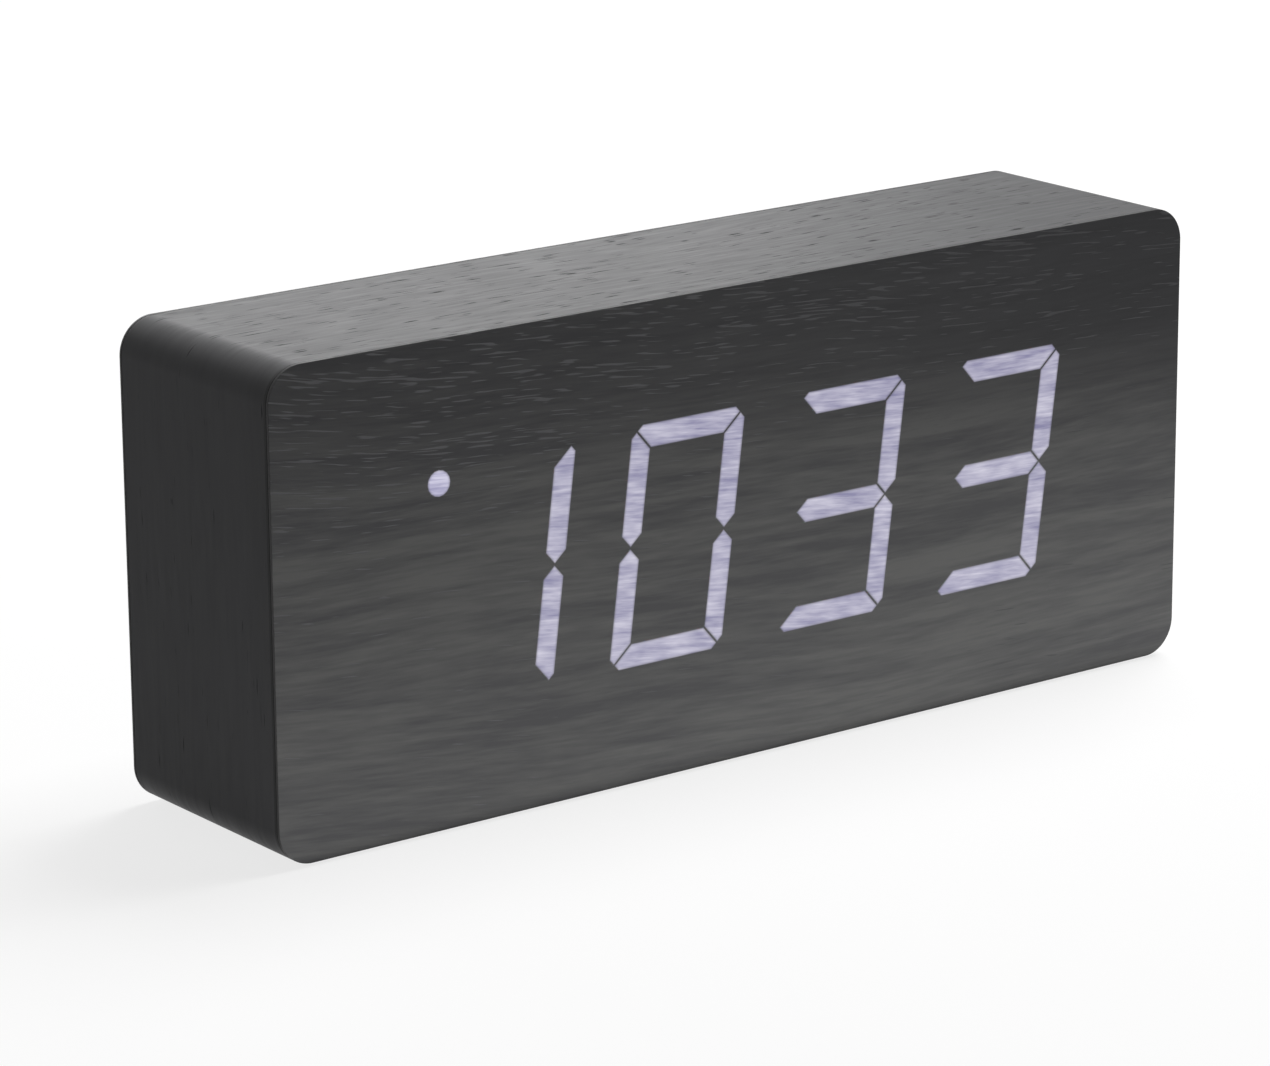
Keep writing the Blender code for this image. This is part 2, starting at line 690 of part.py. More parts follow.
# Display: mask, light guide, reflector, board and screws
def make_display_mask():
    bm = new_shape()
    middle = (0.0, MIDDLE_Z)
    outline = rectangle(MASK_WIDTH, MASK_HEIGHT, WINDOW_RADIUS - FIT_GAP, middle, SMALL_CORNER_STEPS)
    add_prism(bm, outline, MASK_FRONT, MASK_BACK)
    mask = piece("display_mask", bm, MASK_PLASTIC, DISPLAY)
    bm = new_shape()
    for outline, _, _ in LIGHTS:
        add_prism(bm, grown(outline, LENS_CLEARANCE), MASK_FRONT - OVERRUN, MASK_BACK + OVERRUN)
    combine(mask, "DIFFERENCE", bm)


def make_light_guide():
    bm = new_shape()
    middle = (0.0, MIDDLE_Z)
    outline = rectangle(MASK_WIDTH, MASK_HEIGHT, WINDOW_RADIUS - FIT_GAP, middle, SMALL_CORNER_STEPS)
    add_prism(bm, outline, GUIDE_FRONT, GUIDE_BACK)
    guide = piece("light_guide", bm, LIGHT_PLASTIC, DISPLAY)
    bm = new_shape()
    for outline, lit, _ in LIGHTS:
        add_prism(bm, outline, FRONT_Y if lit else MASK_FRONT, GUIDE_FRONT + ROOT_DEPTH)
    combine(guide, "UNION", bm)


def make_reflector():
    """Moulded block with a well behind each light, wide at the front and narrow at the chips."""
    bm = new_shape()
    middle = (0.0, MIDDLE_Z)
    outline = rectangle(MODULE_WIDTH, MODULE_HEIGHT, MODULE_RADIUS, middle, SMALL_CORNER_STEPS)
    add_prism(bm, outline, REFLECTOR_FRONT, REFLECTOR_BACK)
    reflector = piece("reflector", bm, WHITE_PLASTIC, DISPLAY)
    bm = new_shape()
    run = OVERRUN / REFLECTOR_THICKNESS
    for outline, _, _ in LIGHTS:
        mouth = grown(outline, WELL_CLEARANCE - LENS_CLEARANCE)
        wide = shrunk(mouth, 1.0 + (1.0 - WELL_FLOOR_SHARE) * run)
        narrow = shrunk(mouth, WELL_FLOOR_SHARE - (1.0 - WELL_FLOOR_SHARE) * run)
        add_loft(bm, [(wide, REFLECTOR_FRONT - OVERRUN), (narrow, REFLECTOR_BACK + OVERRUN)])
    for place in DISPLAY_SCREWS:
        hole = circle(DISPLAY_SCREW_RADIUS + FIT_GAP, place)
        add_prism(bm, hole, REFLECTOR_FRONT - OVERRUN, REFLECTOR_BACK + OVERRUN)
    combine(reflector, "DIFFERENCE", bm)


def make_display_board():
    bm = new_shape()
    middle = (0.0, MIDDLE_Z)
    outline = rectangle(MODULE_WIDTH, MODULE_HEIGHT, MODULE_RADIUS, middle, SMALL_CORNER_STEPS)
    add_prism(bm, outline, DISPLAY_BOARD_FRONT, DISPLAY_BOARD_BACK)
    board = piece("display_board", bm, BOARD_LAMINATE, DISPLAY)
    bm = new_shape()
    for place in DISPLAY_SCREWS:
        hole = circle(DISPLAY_SCREW_RADIUS + FIT_GAP, place)
        add_prism(bm, hole, DISPLAY_BOARD_FRONT - OVERRUN, DISPLAY_BOARD_BACK + OVERRUN)
    combine(board, "DIFFERENCE", bm)
    bm = new_shape()
    half = LED_SIZE / 2
    for _, _, (x, z) in LIGHTS:
        low = (x - half, DISPLAY_BOARD_FRONT - LED_HEIGHT, z - half)
        add_box(bm, low, (x + half, DISPLAY_BOARD_FRONT + ROOT_DEPTH, z + half))
    combine(board, "UNION", bm)


def screw_profile(shank_radius, head_radius, head, length):
    """Screw along the axis: tip first, then the head with its rounded top."""
    return [
        (shank_radius / 2, 0.0),
        (shank_radius, shank_radius),
        (shank_radius, length),
        (head_radius, length),
        (head_radius - head / 2, length + head),
    ]


def make_display_screws():
    head_y = DISPLAY_BOARD_BACK + STACK_GAP
    profile = screw_profile(
        DISPLAY_SCREW_RADIUS, DISPLAY_SCREW_HEAD_RADIUS, DISPLAY_SCREW_HEAD, head_y - DISPLAY_SCREW_TIP
    )
    for number, (x, z) in enumerate(DISPLAY_SCREWS, 1):
        bm = new_shape()
        add_turned(bm, profile, (x, DISPLAY_SCREW_TIP, z), steps=SCREW_STEPS)
        piece(f"display_screw_{number}", bm, SCREW_STEEL, DISPLAY, (x, head_y, z), smooth=True)


def make_display_connector():
    half_width, half_depth = CONNECTOR_WIDTH / 2, CONNECTOR_DEPTH / 2
    front = DISPLAY_BOARD_BACK + STACK_GAP
    z = MIDDLE_Z - CONNECTOR_RISE
    bm = new_shape()
    add_box(
        bm,
        (CONNECTOR_X - half_width, front, z - half_depth),
        (CONNECTOR_X + half_width, front + CONNECTOR_HEIGHT, z + half_depth),
    )
    piece("display_connector", bm, WHITE_PLASTIC, DISPLAY)


# Rear: cover, door, cells, contacts, control board and buttons
def make_rear_cover():
    """Moulding with the cell compartment, screw bosses and button collars on its inner side."""
    middle = (0.0, MIDDLE_Z)
    bm = new_shape()
    width = REBATE_WIDTH - 2 * FIT_GAP
    height = REBATE_HEIGHT - 2 * FIT_GAP
    add_prism(bm, rectangle(width, height, COVER_RADIUS - FIT_GAP, middle), COVER_FRONT, COVER_BACK)
    cover = piece("rear_cover", bm, BLACK_PLASTIC, REAR)

    bm = new_shape()
    tub_outer = rectangle(
        TUB_LENGTH + 2 * TUB_WALL,
        TUB_HEIGHT + 2 * TUB_WALL,
        TUB_RADIUS + TUB_WALL,
        (TUB_MIDDLE, MIDDLE_Z),
        SMALL_CORNER_STEPS,
    )
    add_prism(bm, tub_outer, TUB_FLOOR - TUB_WALL, COVER_FRONT + ROOT_DEPTH)
    for place in BOSSES:
        add_prism(bm, circle(BOSS_RADIUS, place), BOARD_BACK + STACK_GAP, COVER_FRONT + ROOT_DEPTH)
    for x in BUTTON_PLACES:
        collar = circle(BUTTON_FLANGE_RADIUS + BUTTON_SIDE_GAP + COLLAR_WALL, (x, BUTTON_Z), COLLAR_STEPS)
        add_prism(bm, collar, COVER_FRONT - COLLAR_HEIGHT, COVER_FRONT + ROOT_DEPTH)
    combine(cover, "UNION", bm)

    bm = new_shape()
    tub_inner = rectangle(TUB_LENGTH, TUB_HEIGHT, TUB_RADIUS, (TUB_MIDDLE, MIDDLE_Z), SMALL_CORNER_STEPS)
    add_prism(bm, tub_inner, TUB_FLOOR, COVER_BACK + OVERRUN)
    door_seat = rectangle(
        DOOR_WIDTH + 2 * FIT_GAP,
        DOOR_HEIGHT + 2 * FIT_GAP,
        DOOR_RADIUS + FIT_GAP,
        (TUB_MIDDLE, MIDDLE_Z),
        SMALL_CORNER_STEPS,
    )
    add_prism(bm, door_seat, DOOR_FRONT - DOOR_SEAT_GAP, COVER_BACK + OVERRUN)
    half_tongue = TONGUE_WIDTH / 2 + FIT_GAP
    add_box(
        bm,
        (TUB_MIDDLE - half_tongue, DOOR_FRONT - DOOR_SEAT_GAP, DOOR_TOP - DOOR_LAP),
        (TUB_MIDDLE + half_tongue, COVER_BACK + OVERRUN, DOOR_TOP + TONGUE_REACH + FIT_GAP),
    )
    half_tab = TAB_WIDTH / 2 + FIT_GAP
    for side in (-1, 1):
        x = TUB_MIDDLE + side * TAB_SPREAD
        add_box(
            bm,
            (x - half_tab, COVER_BACK - TAB_SWEEP, DOOR_BOTTOM - TAB_REACH - FIT_GAP),
            (x + half_tab, TAB_BACK + FIT_GAP, DOOR_BOTTOM + TAB_SWEEP),
        )
    for x in BUTTON_PLACES:
        hole = circle(BUTTON_RADIUS + BUTTON_SIDE_GAP, (x, BUTTON_Z), ROUND_STEPS)
        add_prism(bm, hole, COVER_FRONT - OVERRUN, COVER_BACK + OVERRUN)
        bore = circle(BUTTON_FLANGE_RADIUS + BUTTON_SIDE_GAP, (x, BUTTON_Z), ROUND_STEPS)
        add_prism(bm, bore, COVER_FRONT - COLLAR_HEIGHT - OVERRUN, COVER_FRONT)
    socket_hole = rectangle(
        SOCKET_WIDTH + 2 * FIT_GAP,
        SOCKET_HEIGHT + 2 * FIT_GAP,
        SOCKET_CORNER + FIT_GAP,
        (SOCKET_X, SOCKET_Z),
        SMALL_CORNER_STEPS,
    )
    add_prism(bm, socket_hole, COVER_FRONT - OVERRUN, COVER_BACK + OVERRUN)
    for place in BOSSES:
        hole_end = BOARD_BACK + STACK_GAP + BOSS_HOLE_DEPTH
        add_prism(bm, circle(BOSS_HOLE_RADIUS, place, SCREW_STEPS), BOARD_BACK - OVERRUN, hole_end)
    for place in COVER_SCREWS:
        hole = circle(COVER_SCREW_RADIUS + FIT_GAP, place)
        add_prism(bm, hole, COVER_FRONT - OVERRUN, COVER_BACK + OVERRUN)
        seat = circle(COVER_SCREW_HEAD_RADIUS + FIT_GAP, place)
        add_prism(bm, seat, COVER_BACK - COVER_SCREW_SINK, COVER_BACK + OVERRUN)
    for step in range(SOUND_HOLE_COUNT):
        angle = math.tau * step / SOUND_HOLE_COUNT
        x = BUZZER_X + SOUND_RING_RADIUS * math.cos(angle)
        z = BUZZER_Z + SOUND_RING_RADIUS * math.sin(angle)
        hole = circle(SOUND_HOLE_RADIUS, (x, z), PIN_HOLE_STEPS)
        add_prism(bm, hole, COVER_FRONT - OVERRUN, COVER_BACK + OVERRUN)
    add_prism(
        bm,
        circle(MICROPHONE_HOLE_RADIUS, (MICROPHONE_X, MICROPHONE_Z), PIN_HOLE_STEPS),
        COVER_FRONT - OVERRUN,
        COVER_BACK + OVERRUN,
    )
    for step in range(VENT_COUNT):
        x = BUTTON_PLACES[-1] + (step - (VENT_COUNT - 1) / 2) * VENT_PITCH
        slot = rectangle(VENT_WIDTH, VENT_HEIGHT, VENT_WIDTH / 2, (x, BUZZER_Z), SLOT_STEPS)
        add_prism(bm, slot, COVER_FRONT - OVERRUN, COVER_BACK + OVERRUN)
    for x, z in ((TUB_START, CELL_LEVELS[0]), (TUB_END, CELL_LEVELS[-1])):
        inward = 1 if x == TUB_START else -1
        reach = PLATE_ROOM + TAIL_SLOT_GAP
        half = TAIL_WIDTH / 2 + TAIL_SLOT_GAP
        low_x, high_x = sorted((x, x + inward * reach))
        low = (low_x, TUB_FLOOR - TUB_WALL - OVERRUN, z - half)
        add_box(bm, low, (high_x, TUB_FLOOR + OVERRUN, z + half))
    combine(cover, "DIFFERENCE", bm, overlapping=True)

    bm = new_shape()
    half_rib = RIB_WIDTH / 2
    for level in CELL_LEVELS[:-1]:
        z = level + CELL_PITCH / 2
        for x in (TUB_START + TUB_LENGTH / 4, TUB_END - TUB_LENGTH / 4):
            low = (x - RIB_LENGTH / 2, TUB_FLOOR - ROOT_DEPTH, z - half_rib)
            add_box(bm, low, (x + RIB_LENGTH / 2, TUB_FLOOR + RIB_HEIGHT, z + half_rib))
    combine(cover, "UNION", bm)


def make_battery_door():
    """Flush lid: two tabs under the cover's lip at its foot, a spring tongue at its top."""
    bm = new_shape()
    outline = rectangle(DOOR_WIDTH, DOOR_HEIGHT, DOOR_RADIUS, (TUB_MIDDLE, MIDDLE_Z), SMALL_CORNER_STEPS)
    add_prism(bm, outline, DOOR_FRONT, COVER_BACK)
    door = piece("battery_door", bm, BLACK_PLASTIC, REAR, (TUB_MIDDLE, COVER_BACK, DOOR_BOTTOM))
    bm = new_shape()
    add_box(
        bm,
        (TUB_MIDDLE - TONGUE_WIDTH / 2, DOOR_FRONT + ROOT_DEPTH, DOOR_TOP - DOOR_LAP),
        (TUB_MIDDLE + TONGUE_WIDTH / 2, COVER_BACK, DOOR_TOP + TONGUE_REACH),
    )
    for side in (-1, 1):
        x = TUB_MIDDLE + side * TAB_SPREAD
        add_box(
            bm,
            (x - TAB_WIDTH / 2, DOOR_FRONT - TAB_THICKNESS, DOOR_BOTTOM - TAB_REACH),
            (x + TAB_WIDTH / 2, TAB_BACK, DOOR_BOTTOM + TAB_ROOT),
        )
    for step in range(GRIP_COUNT):
        z = DOOR_TOP - GRIP_DROP - step * GRIP_PITCH
        add_box(
            bm,
            (TUB_MIDDLE - GRIP_WIDTH / 2, COVER_BACK - ROOT_DEPTH, z - GRIP_HEIGHT),
            (TUB_MIDDLE + GRIP_WIDTH / 2, COVER_BACK + GRIP_RAISE, z),
        )
    combine(door, "UNION", bm)


def make_cells():
    for number, z in enumerate(CELL_LEVELS, 1):
        nub_right = number % 2 == 1
        if nub_right:
            start = TUB_START + PLATE_ROOM + COIL_LENGTH + FIT_GAP
            turn = LEFT_TO_RIGHT
        else:
            start = TUB_END - PLATE_ROOM - COIL_LENGTH - FIT_GAP
            turn = Matrix.Rotation(math.pi / 2, 4, "Z")
        profile = [
            (CELL_RADIUS - CELL_EDGE, 0.0),
            (CELL_RADIUS, CELL_EDGE),
            (CELL_RADIUS, CELL_BODY - CELL_EDGE),
            (CELL_RADIUS - CELL_EDGE, CELL_BODY),
            (CELL_NUB_RADIUS, CELL_BODY),
            (CELL_NUB_RADIUS, CELL_BODY + CELL_NUB - CELL_EDGE),
            (CELL_NUB_RADIUS - CELL_EDGE, CELL_BODY + CELL_NUB),
        ]
        bm = new_shape()
        add_turned(bm, profile, (start, CELL_Y, z), turn, CELL_STEPS)
        piece(f"battery_{number}", bm, CELL_WRAP, REAR, (start, CELL_Y, z), smooth=True)


def coil_path(wall_x, inward, z):
    """Points of a conical coil that winds off the contact plate towards the cell."""
    base_x = wall_x + inward * (PLATE_ROOM - CONTACT_THICKNESS / 2)
    run = COIL_LENGTH + CONTACT_THICKNESS / 2 - COIL_WIRE / 2
    count = COIL_TURNS * COIL_POINTS
    points = []
    for step in range(count + 1):
        share = step / count
        radius = COIL_BASE_RADIUS + (COIL_TIP_RADIUS - COIL_BASE_RADIUS) * share
        angle = math.tau * COIL_TURNS * share
        x = base_x + inward * run * share
        points.append(Vector((x, CELL_Y + radius * math.cos(angle), z + radius * math.sin(angle))))
    return points


def least_self_gap(points, diameter):
    """Smallest clear distance between turns that aren't neighbours along the wire."""
    least = math.inf
    for index, point in enumerate(points):
        for other in points[index + COIL_POINTS // 2 :]:
            least = min(least, (point - other).length - diameter)
    return least


def add_tube(bm, points, radius, sides):
    """Closed tube along the points, with a frame carried along so that it doesn't twist."""
    directions = []
    for index in range(len(points)):
        before = points[max(index - 1, 0)]
        after = points[min(index + 1, len(points) - 1)]
        directions.append((after - before).normalized())
    across = directions[0].orthogonal().normalized()
    rings = []
    for point, direction in zip(points, directions):
        across = (across - direction * across.dot(direction)).normalized()
        beside = direction.cross(across)
        ring = []
        for side in range(sides):
            angle = math.tau * side / sides
            outward = across * math.cos(angle) + beside * math.sin(angle)
            ring.append(bm.verts.new(point + outward * radius))
        rings.append(ring)
    for ring, following in zip(rings, rings[1:]):
        for index in range(sides):
            after = (index + 1) % sides
            bm.faces.new((ring[index], ring[after], following[after], following[index]))
    bm.faces.new(rings[0])
    bm.faces.new(rings[-1])


def make_contact(name, wall_x, inward, low_cell, high_cell, coil_cell, dimple_cell, tail_cell=None):
    """Pressed strip on an end wall of the compartment, with its coil or dimple for each cell."""
    half = CONTACT_SIZE / 2
    near = wall_x + inward * STACK_GAP
    far = near + inward * CONTACT_THICKNESS
    low_x, high_x = sorted((near, far))
    bm = new_shape()
    add_box(
        bm,
        (low_x, CELL_Y - half, CELL_LEVELS[low_cell] - half),
        (high_x, CELL_Y + half, CELL_LEVELS[high_cell] + half),
    )
    contact = piece(name, bm, CONTACT_STEEL, REAR, smooth=True)
    bm = new_shape()
    if dimple_cell is not None:
        place = (far - inward * CONTACT_THICKNESS / 2, CELL_Y, CELL_LEVELS[dimple_cell])
        turn = LEFT_TO_RIGHT if inward > 0 else Matrix.Rotation(math.pi / 2, 4, "Z")
        reach = DIMPLE_HEIGHT + CONTACT_THICKNESS / 2
        profile = [(DIMPLE_RADIUS, 0.0), (DIMPLE_RADIUS, reach / 2), (DIMPLE_RADIUS / 2, reach)]
        add_turned(bm, profile, place, turn, HOLE_STEPS)
    if tail_cell is not None:
        z = CELL_LEVELS[tail_cell]
        add_box(
            bm,
            (low_x, TUB_FLOOR - TUB_WALL - TAIL_REACH, z - TAIL_WIDTH / 2),
            (high_x, CELL_Y - half + ROOT_DEPTH, z + TAIL_WIDTH / 2),
        )
    if dimple_cell is not None or tail_cell is not None:
        combine(contact, "UNION", bm, overlapping=True)
    if coil_cell is not None:
        points = coil_path(wall_x, inward, CELL_LEVELS[coil_cell])
        print(name, "coil: least gap to itself", round(least_self_gap(points, COIL_WIRE) * 1000, 3), "mm")
        bm = new_shape()
        add_tube(bm, points, COIL_WIRE / 2, 6)
        combine(contact, "UNION", bm)


def make_contacts():
    make_contact("contact_negative", TUB_START, 1, 0, 0, coil_cell=0, dimple_cell=None, tail_cell=0)
    make_contact("contact_bridge_right", TUB_END, -1, 0, 1, coil_cell=1, dimple_cell=0)
    make_contact("contact_bridge_left", TUB_START, 1, 1, 2, coil_cell=2, dimple_cell=1)
    make_contact("contact_positive", TUB_END, -1, 2, 2, coil_cell=None, dimple_cell=2, tail_cell=2)


def make_control_board():
    width = BOARD_RIGHT - BOARD_LEFT
    centre = ((BOARD_LEFT + BOARD_RIGHT) / 2, MIDDLE_Z)
    bm = new_shape()
    outline = rectangle(width, BOARD_TOP - BOARD_BOTTOM, BOARD_CORNER, centre, SMALL_CORNER_STEPS)
    add_prism(bm, outline, BOARD_FRONT, BOARD_BACK)
    board = piece("control_board", bm, BOARD_LAMINATE, REAR)
    bm = new_shape()
    for place in BOSSES:
        hole = circle(BOARD_SCREW_RADIUS + FIT_GAP, place)
        add_prism(bm, hole, BOARD_FRONT - OVERRUN, BOARD_BACK + OVERRUN)
    combine(board, "DIFFERENCE", bm)


def make_buttons():
    for name, x in zip(BUTTON_NAMES, BUTTON_PLACES):
        top = COVER_BACK + BUTTON_PROUD
        bm = new_shape()
        profile = [
            (BUTTON_STEM_RADIUS, STEM_END),
            (BUTTON_STEM_RADIUS, FLANGE_FRONT),
            (BUTTON_FLANGE_RADIUS, FLANGE_FRONT),
            (BUTTON_FLANGE_RADIUS, FLANGE_BACK),
            (BUTTON_RADIUS, FLANGE_BACK),
            (BUTTON_RADIUS, top - BUTTON_DOME - BUTTON_EDGE),
            (BUTTON_RADIUS - BUTTON_EDGE, top - BUTTON_DOME),
            (BUTTON_RADIUS / 2, top),
        ]
        add_turned(bm, profile, (x, 0.0, BUTTON_Z))
        piece(f"{name}_button", bm, BLACK_PLASTIC, REAR, (x, top, BUTTON_Z), smooth=True)

        half = SWITCH_SIZE / 2
        bm = new_shape()
        low = (x - half, BOARD_BACK + STACK_GAP, BUTTON_Z - half)
        add_box(bm, low, (x + half, SWITCH_TOP, BUTTON_Z + half))
        switch = piece(f"{name}_switch", bm, CHIP_PLASTIC, REAR, (x, SWITCH_TOP, BUTTON_Z))
        bm = new_shape()
        bore = circle(SWITCH_BORE_RADIUS, (x, BUTTON_Z))
        add_prism(bm, bore, SWITCH_TOP - SWITCH_BORE_DEPTH, SWITCH_TOP + OVERRUN)
        combine(switch, "DIFFERENCE", bm)

        bm = new_shape()
        profile = [
            (PLUNGER_RADIUS, SWITCH_TOP - PLUNGER_DEPTH),
            (PLUNGER_RADIUS, PLUNGER_TOP),
        ]
        add_turned(bm, profile, (x, 0.0, BUTTON_Z), steps=HOLE_STEPS)
        piece(f"{name}_plunger", bm, WHITE_PLASTIC, REAR, (x, PLUNGER_TOP, BUTTON_Z), smooth=True)


def make_usb_socket():
    bottom = BOARD_BACK + STACK_GAP
    top = COVER_BACK - SOCKET_RECESS
    centre = (SOCKET_X, SOCKET_Z)
    bm = new_shape()
    shell = rectangle(SOCKET_WIDTH, SOCKET_HEIGHT, SOCKET_CORNER, centre, SMALL_CORNER_STEPS)
    add_prism(bm, shell, bottom, top)
    socket = piece("usb_socket", bm, CAN_METAL, REAR)
    bm = new_shape()
    cavity = rectangle(
        SOCKET_WIDTH - 2 * SOCKET_SHELL,
        SOCKET_HEIGHT - 2 * SOCKET_SHELL,
        SOCKET_CORNER / 2,
        centre,
        SMALL_CORNER_STEPS,
    )
    add_prism(bm, cavity, top - SOCKET_CAVITY, top + OVERRUN)
    combine(socket, "DIFFERENCE", bm)
    bm = new_shape()
    half_width, half_height = SOCKET_TONGUE[0] / 2, SOCKET_TONGUE[1] / 2
    add_box(
        bm,
        (SOCKET_X - half_width, top - SOCKET_CAVITY - ROOT_DEPTH, SOCKET_Z - half_height),
        (SOCKET_X + half_width, top - SOCKET_RECESS, SOCKET_Z + half_height),
    )
    combine(socket, "UNION", bm)


def make_board_parts():
    rear = BOARD_BACK + STACK_GAP
    front = BOARD_FRONT - STACK_GAP
    bm = new_shape()
    profile = [(BUZZER_RADIUS, rear), (BUZZER_RADIUS, rear + BUZZER_HEIGHT)]
    add_turned(bm, profile, (BUZZER_X, 0.0, BUZZER_Z))
    buzzer = piece("buzzer", bm, CHIP_PLASTIC, REAR, smooth=True)
    bm = new_shape()
    top = rear + BUZZER_HEIGHT
    add_prism(bm, circle(BUZZER_HOLE_RADIUS, (BUZZER_X, BUZZER_Z)), top - BUZZER_HOLE_DEPTH, top + OVERRUN)
    combine(buzzer, "DIFFERENCE", bm)

    bm = new_shape()
    profile = [(MICROPHONE_RADIUS, rear), (MICROPHONE_RADIUS, rear + MICROPHONE_HEIGHT)]
    add_turned(bm, profile, (MICROPHONE_X, 0.0, MICROPHONE_Z), steps=HOLE_STEPS)
    piece("microphone", bm, CAN_METAL, REAR, smooth=True)

    bm = new_shape()
    chip_x = BOARD_RIGHT - CHIP_INSET
    body = rectangle(CHIP_SIZE, CHIP_SIZE, CHIP_EDGE, (chip_x, MIDDLE_Z), 1)
    top = rectangle(CHIP_SIZE - CHIP_EDGE, CHIP_SIZE - CHIP_EDGE, CHIP_EDGE / 2, (chip_x, MIDDLE_Z), 1)
    add_loft(bm, [(top, front - CHIP_HEIGHT), (body, front - CHIP_HEIGHT / 2), (body, front)])
    piece("mcu_chip", bm, CHIP_PLASTIC, REAR)

    bm = new_shape()
    crystal = (BOARD_RIGHT - CRYSTAL_INSET, front - CRYSTAL_RADIUS, MIDDLE_Z + CRYSTAL_RISE)
    profile = [(CRYSTAL_RADIUS, 0.0), (CRYSTAL_RADIUS, CRYSTAL_LENGTH)]
    add_turned(bm, profile, crystal, LEFT_TO_RIGHT, HOLE_STEPS)
    piece("crystal_can", bm, CAN_METAL, REAR, smooth=True)

    bm = new_shape()
    profile = [
        (CAPACITOR_RADIUS - CAPACITOR_EDGE, front - CAPACITOR_HEIGHT),
        (CAPACITOR_RADIUS, front - CAPACITOR_HEIGHT + CAPACITOR_EDGE),
        (CAPACITOR_RADIUS, front),
    ]
    centre = (BOARD_RIGHT - CAPACITOR_INSET, 0.0, MIDDLE_Z - CAPACITOR_DROP)
    add_turned(bm, profile, centre, steps=HOLE_STEPS)
    piece("capacitor", bm, CAN_METAL, REAR, smooth=True)

    bm = new_shape()
    sensor = (BOARD_RIGHT - SENSOR_INSET, (BOARD_FRONT + BOARD_BACK) / 2, BOARD_BOTTOM - STACK_GAP)
    profile = [(SENSOR_RADIUS / 2, 0.0), (SENSOR_RADIUS, SENSOR_RADIUS), (SENSOR_RADIUS, SENSOR_LENGTH)]
    add_turned(bm, profile, sensor, TOP_TO_BOTTOM, HOLE_STEPS)
    piece("temperature_sensor", bm, CHIP_PLASTIC, REAR, smooth=True)

    bm = new_shape()
    half_width, half_depth = CONNECTOR_WIDTH / 2, CONNECTOR_DEPTH / 2
    z = MIDDLE_Z + CONNECTOR_RISE
    add_box(
        bm,
        (CONNECTOR_X - half_width, front - CONNECTOR_HEIGHT, z - half_depth),
        (CONNECTOR_X + half_width, front, z + half_depth),
    )
    piece("control_connector", bm, WHITE_PLASTIC, REAR)


def make_board_screws():
    head_y = BOARD_FRONT - STACK_GAP
    length = BOARD_THICKNESS + 2 * STACK_GAP + BOARD_SCREW_BITE
    profile = screw_profile(BOARD_SCREW_RADIUS, BOARD_SCREW_HEAD_RADIUS, BOARD_SCREW_HEAD, length)
    turn = Matrix.Rotation(math.pi, 4, "X")
    for number, (x, z) in enumerate(BOSSES, 1):
        bm = new_shape()
        add_turned(bm, profile, (x, head_y + length, z), turn, SCREW_STEPS)
        piece(f"board_screw_{number}", bm, SCREW_STEEL, REAR, (x, head_y, z), smooth=True)


def make_cover_screws():
    head_y = COVER_BACK - COVER_SCREW_SINK + STACK_GAP
    tip_y = REBATE_Y - COVER_SCREW_BITE
    profile = screw_profile(COVER_SCREW_RADIUS, COVER_SCREW_HEAD_RADIUS, COVER_SCREW_HEAD, head_y - tip_y)
    for number, (x, z) in enumerate(COVER_SCREWS, 1):
        bm = new_shape()
        add_turned(bm, profile, (x, tip_y, z), steps=SCREW_STEPS)
        piece(f"cover_screw_{number}", bm, SCREW_STEEL, REAR, (x, head_y, z), smooth=True)


def make_ribbon():
    """Flat cable between the two boards, with a loop of slack."""
    reach = STACK_GAP + CONNECTOR_HEIGHT + FIT_GAP
    start = Vector((0.0, DISPLAY_BOARD_BACK + reach, MIDDLE_Z - CONNECTOR_RISE))
    end = Vector((0.0, BOARD_FRONT - reach, MIDDLE_Z + CONNECTOR_RISE))
    points = []
    for step in range(RIBBON_STEPS + 1):
        share = step / RIBBON_STEPS
        ease = share * share * (3.0 - 2.0 * share)
        bow = math.sin(math.pi * share) ** 2
        y = start.y + (end.y - start.y) * (ease + share) / 2
        z = start.z + (end.z - start.z) * ease + RIBBON_BULGE * bow
        points.append(Vector((0.0, y, z)))
    bm = new_shape()
    half = RIBBON_THICKNESS / 2
    upper, lower = [], []
    for index, point in enumerate(points):
        before, after = points[max(index - 1, 0)], points[min(index + 1, RIBBON_STEPS)]
        run = (after - before).normalized()
        normal = Vector((0.0, -run.z, run.y))
        upper.append(point + normal * half)
        lower.append(point - normal * half)
    outline = lower + upper[::-1]
    rings = []
    for side in (-1, 1):
        x = CONNECTOR_X + side * RIBBON_WIDTH / 2
        rings.append([bm.verts.new((x, point.y, point.z)) for point in outline])
    count = len(outline)
    for index in range(count):
        after = (index + 1) % count
        bm.faces.new((rings[0][index], rings[0][after], rings[1][after], rings[1][index]))
    for ring in rings:
        for index in range(RIBBON_STEPS):
            bm.faces.new((ring[index], ring[index + 1], ring[count - 2 - index], ring[count - 1 - index]))
    piece("ribbon_cable", bm, RIBBON_PLASTIC, REAR, smooth=True)


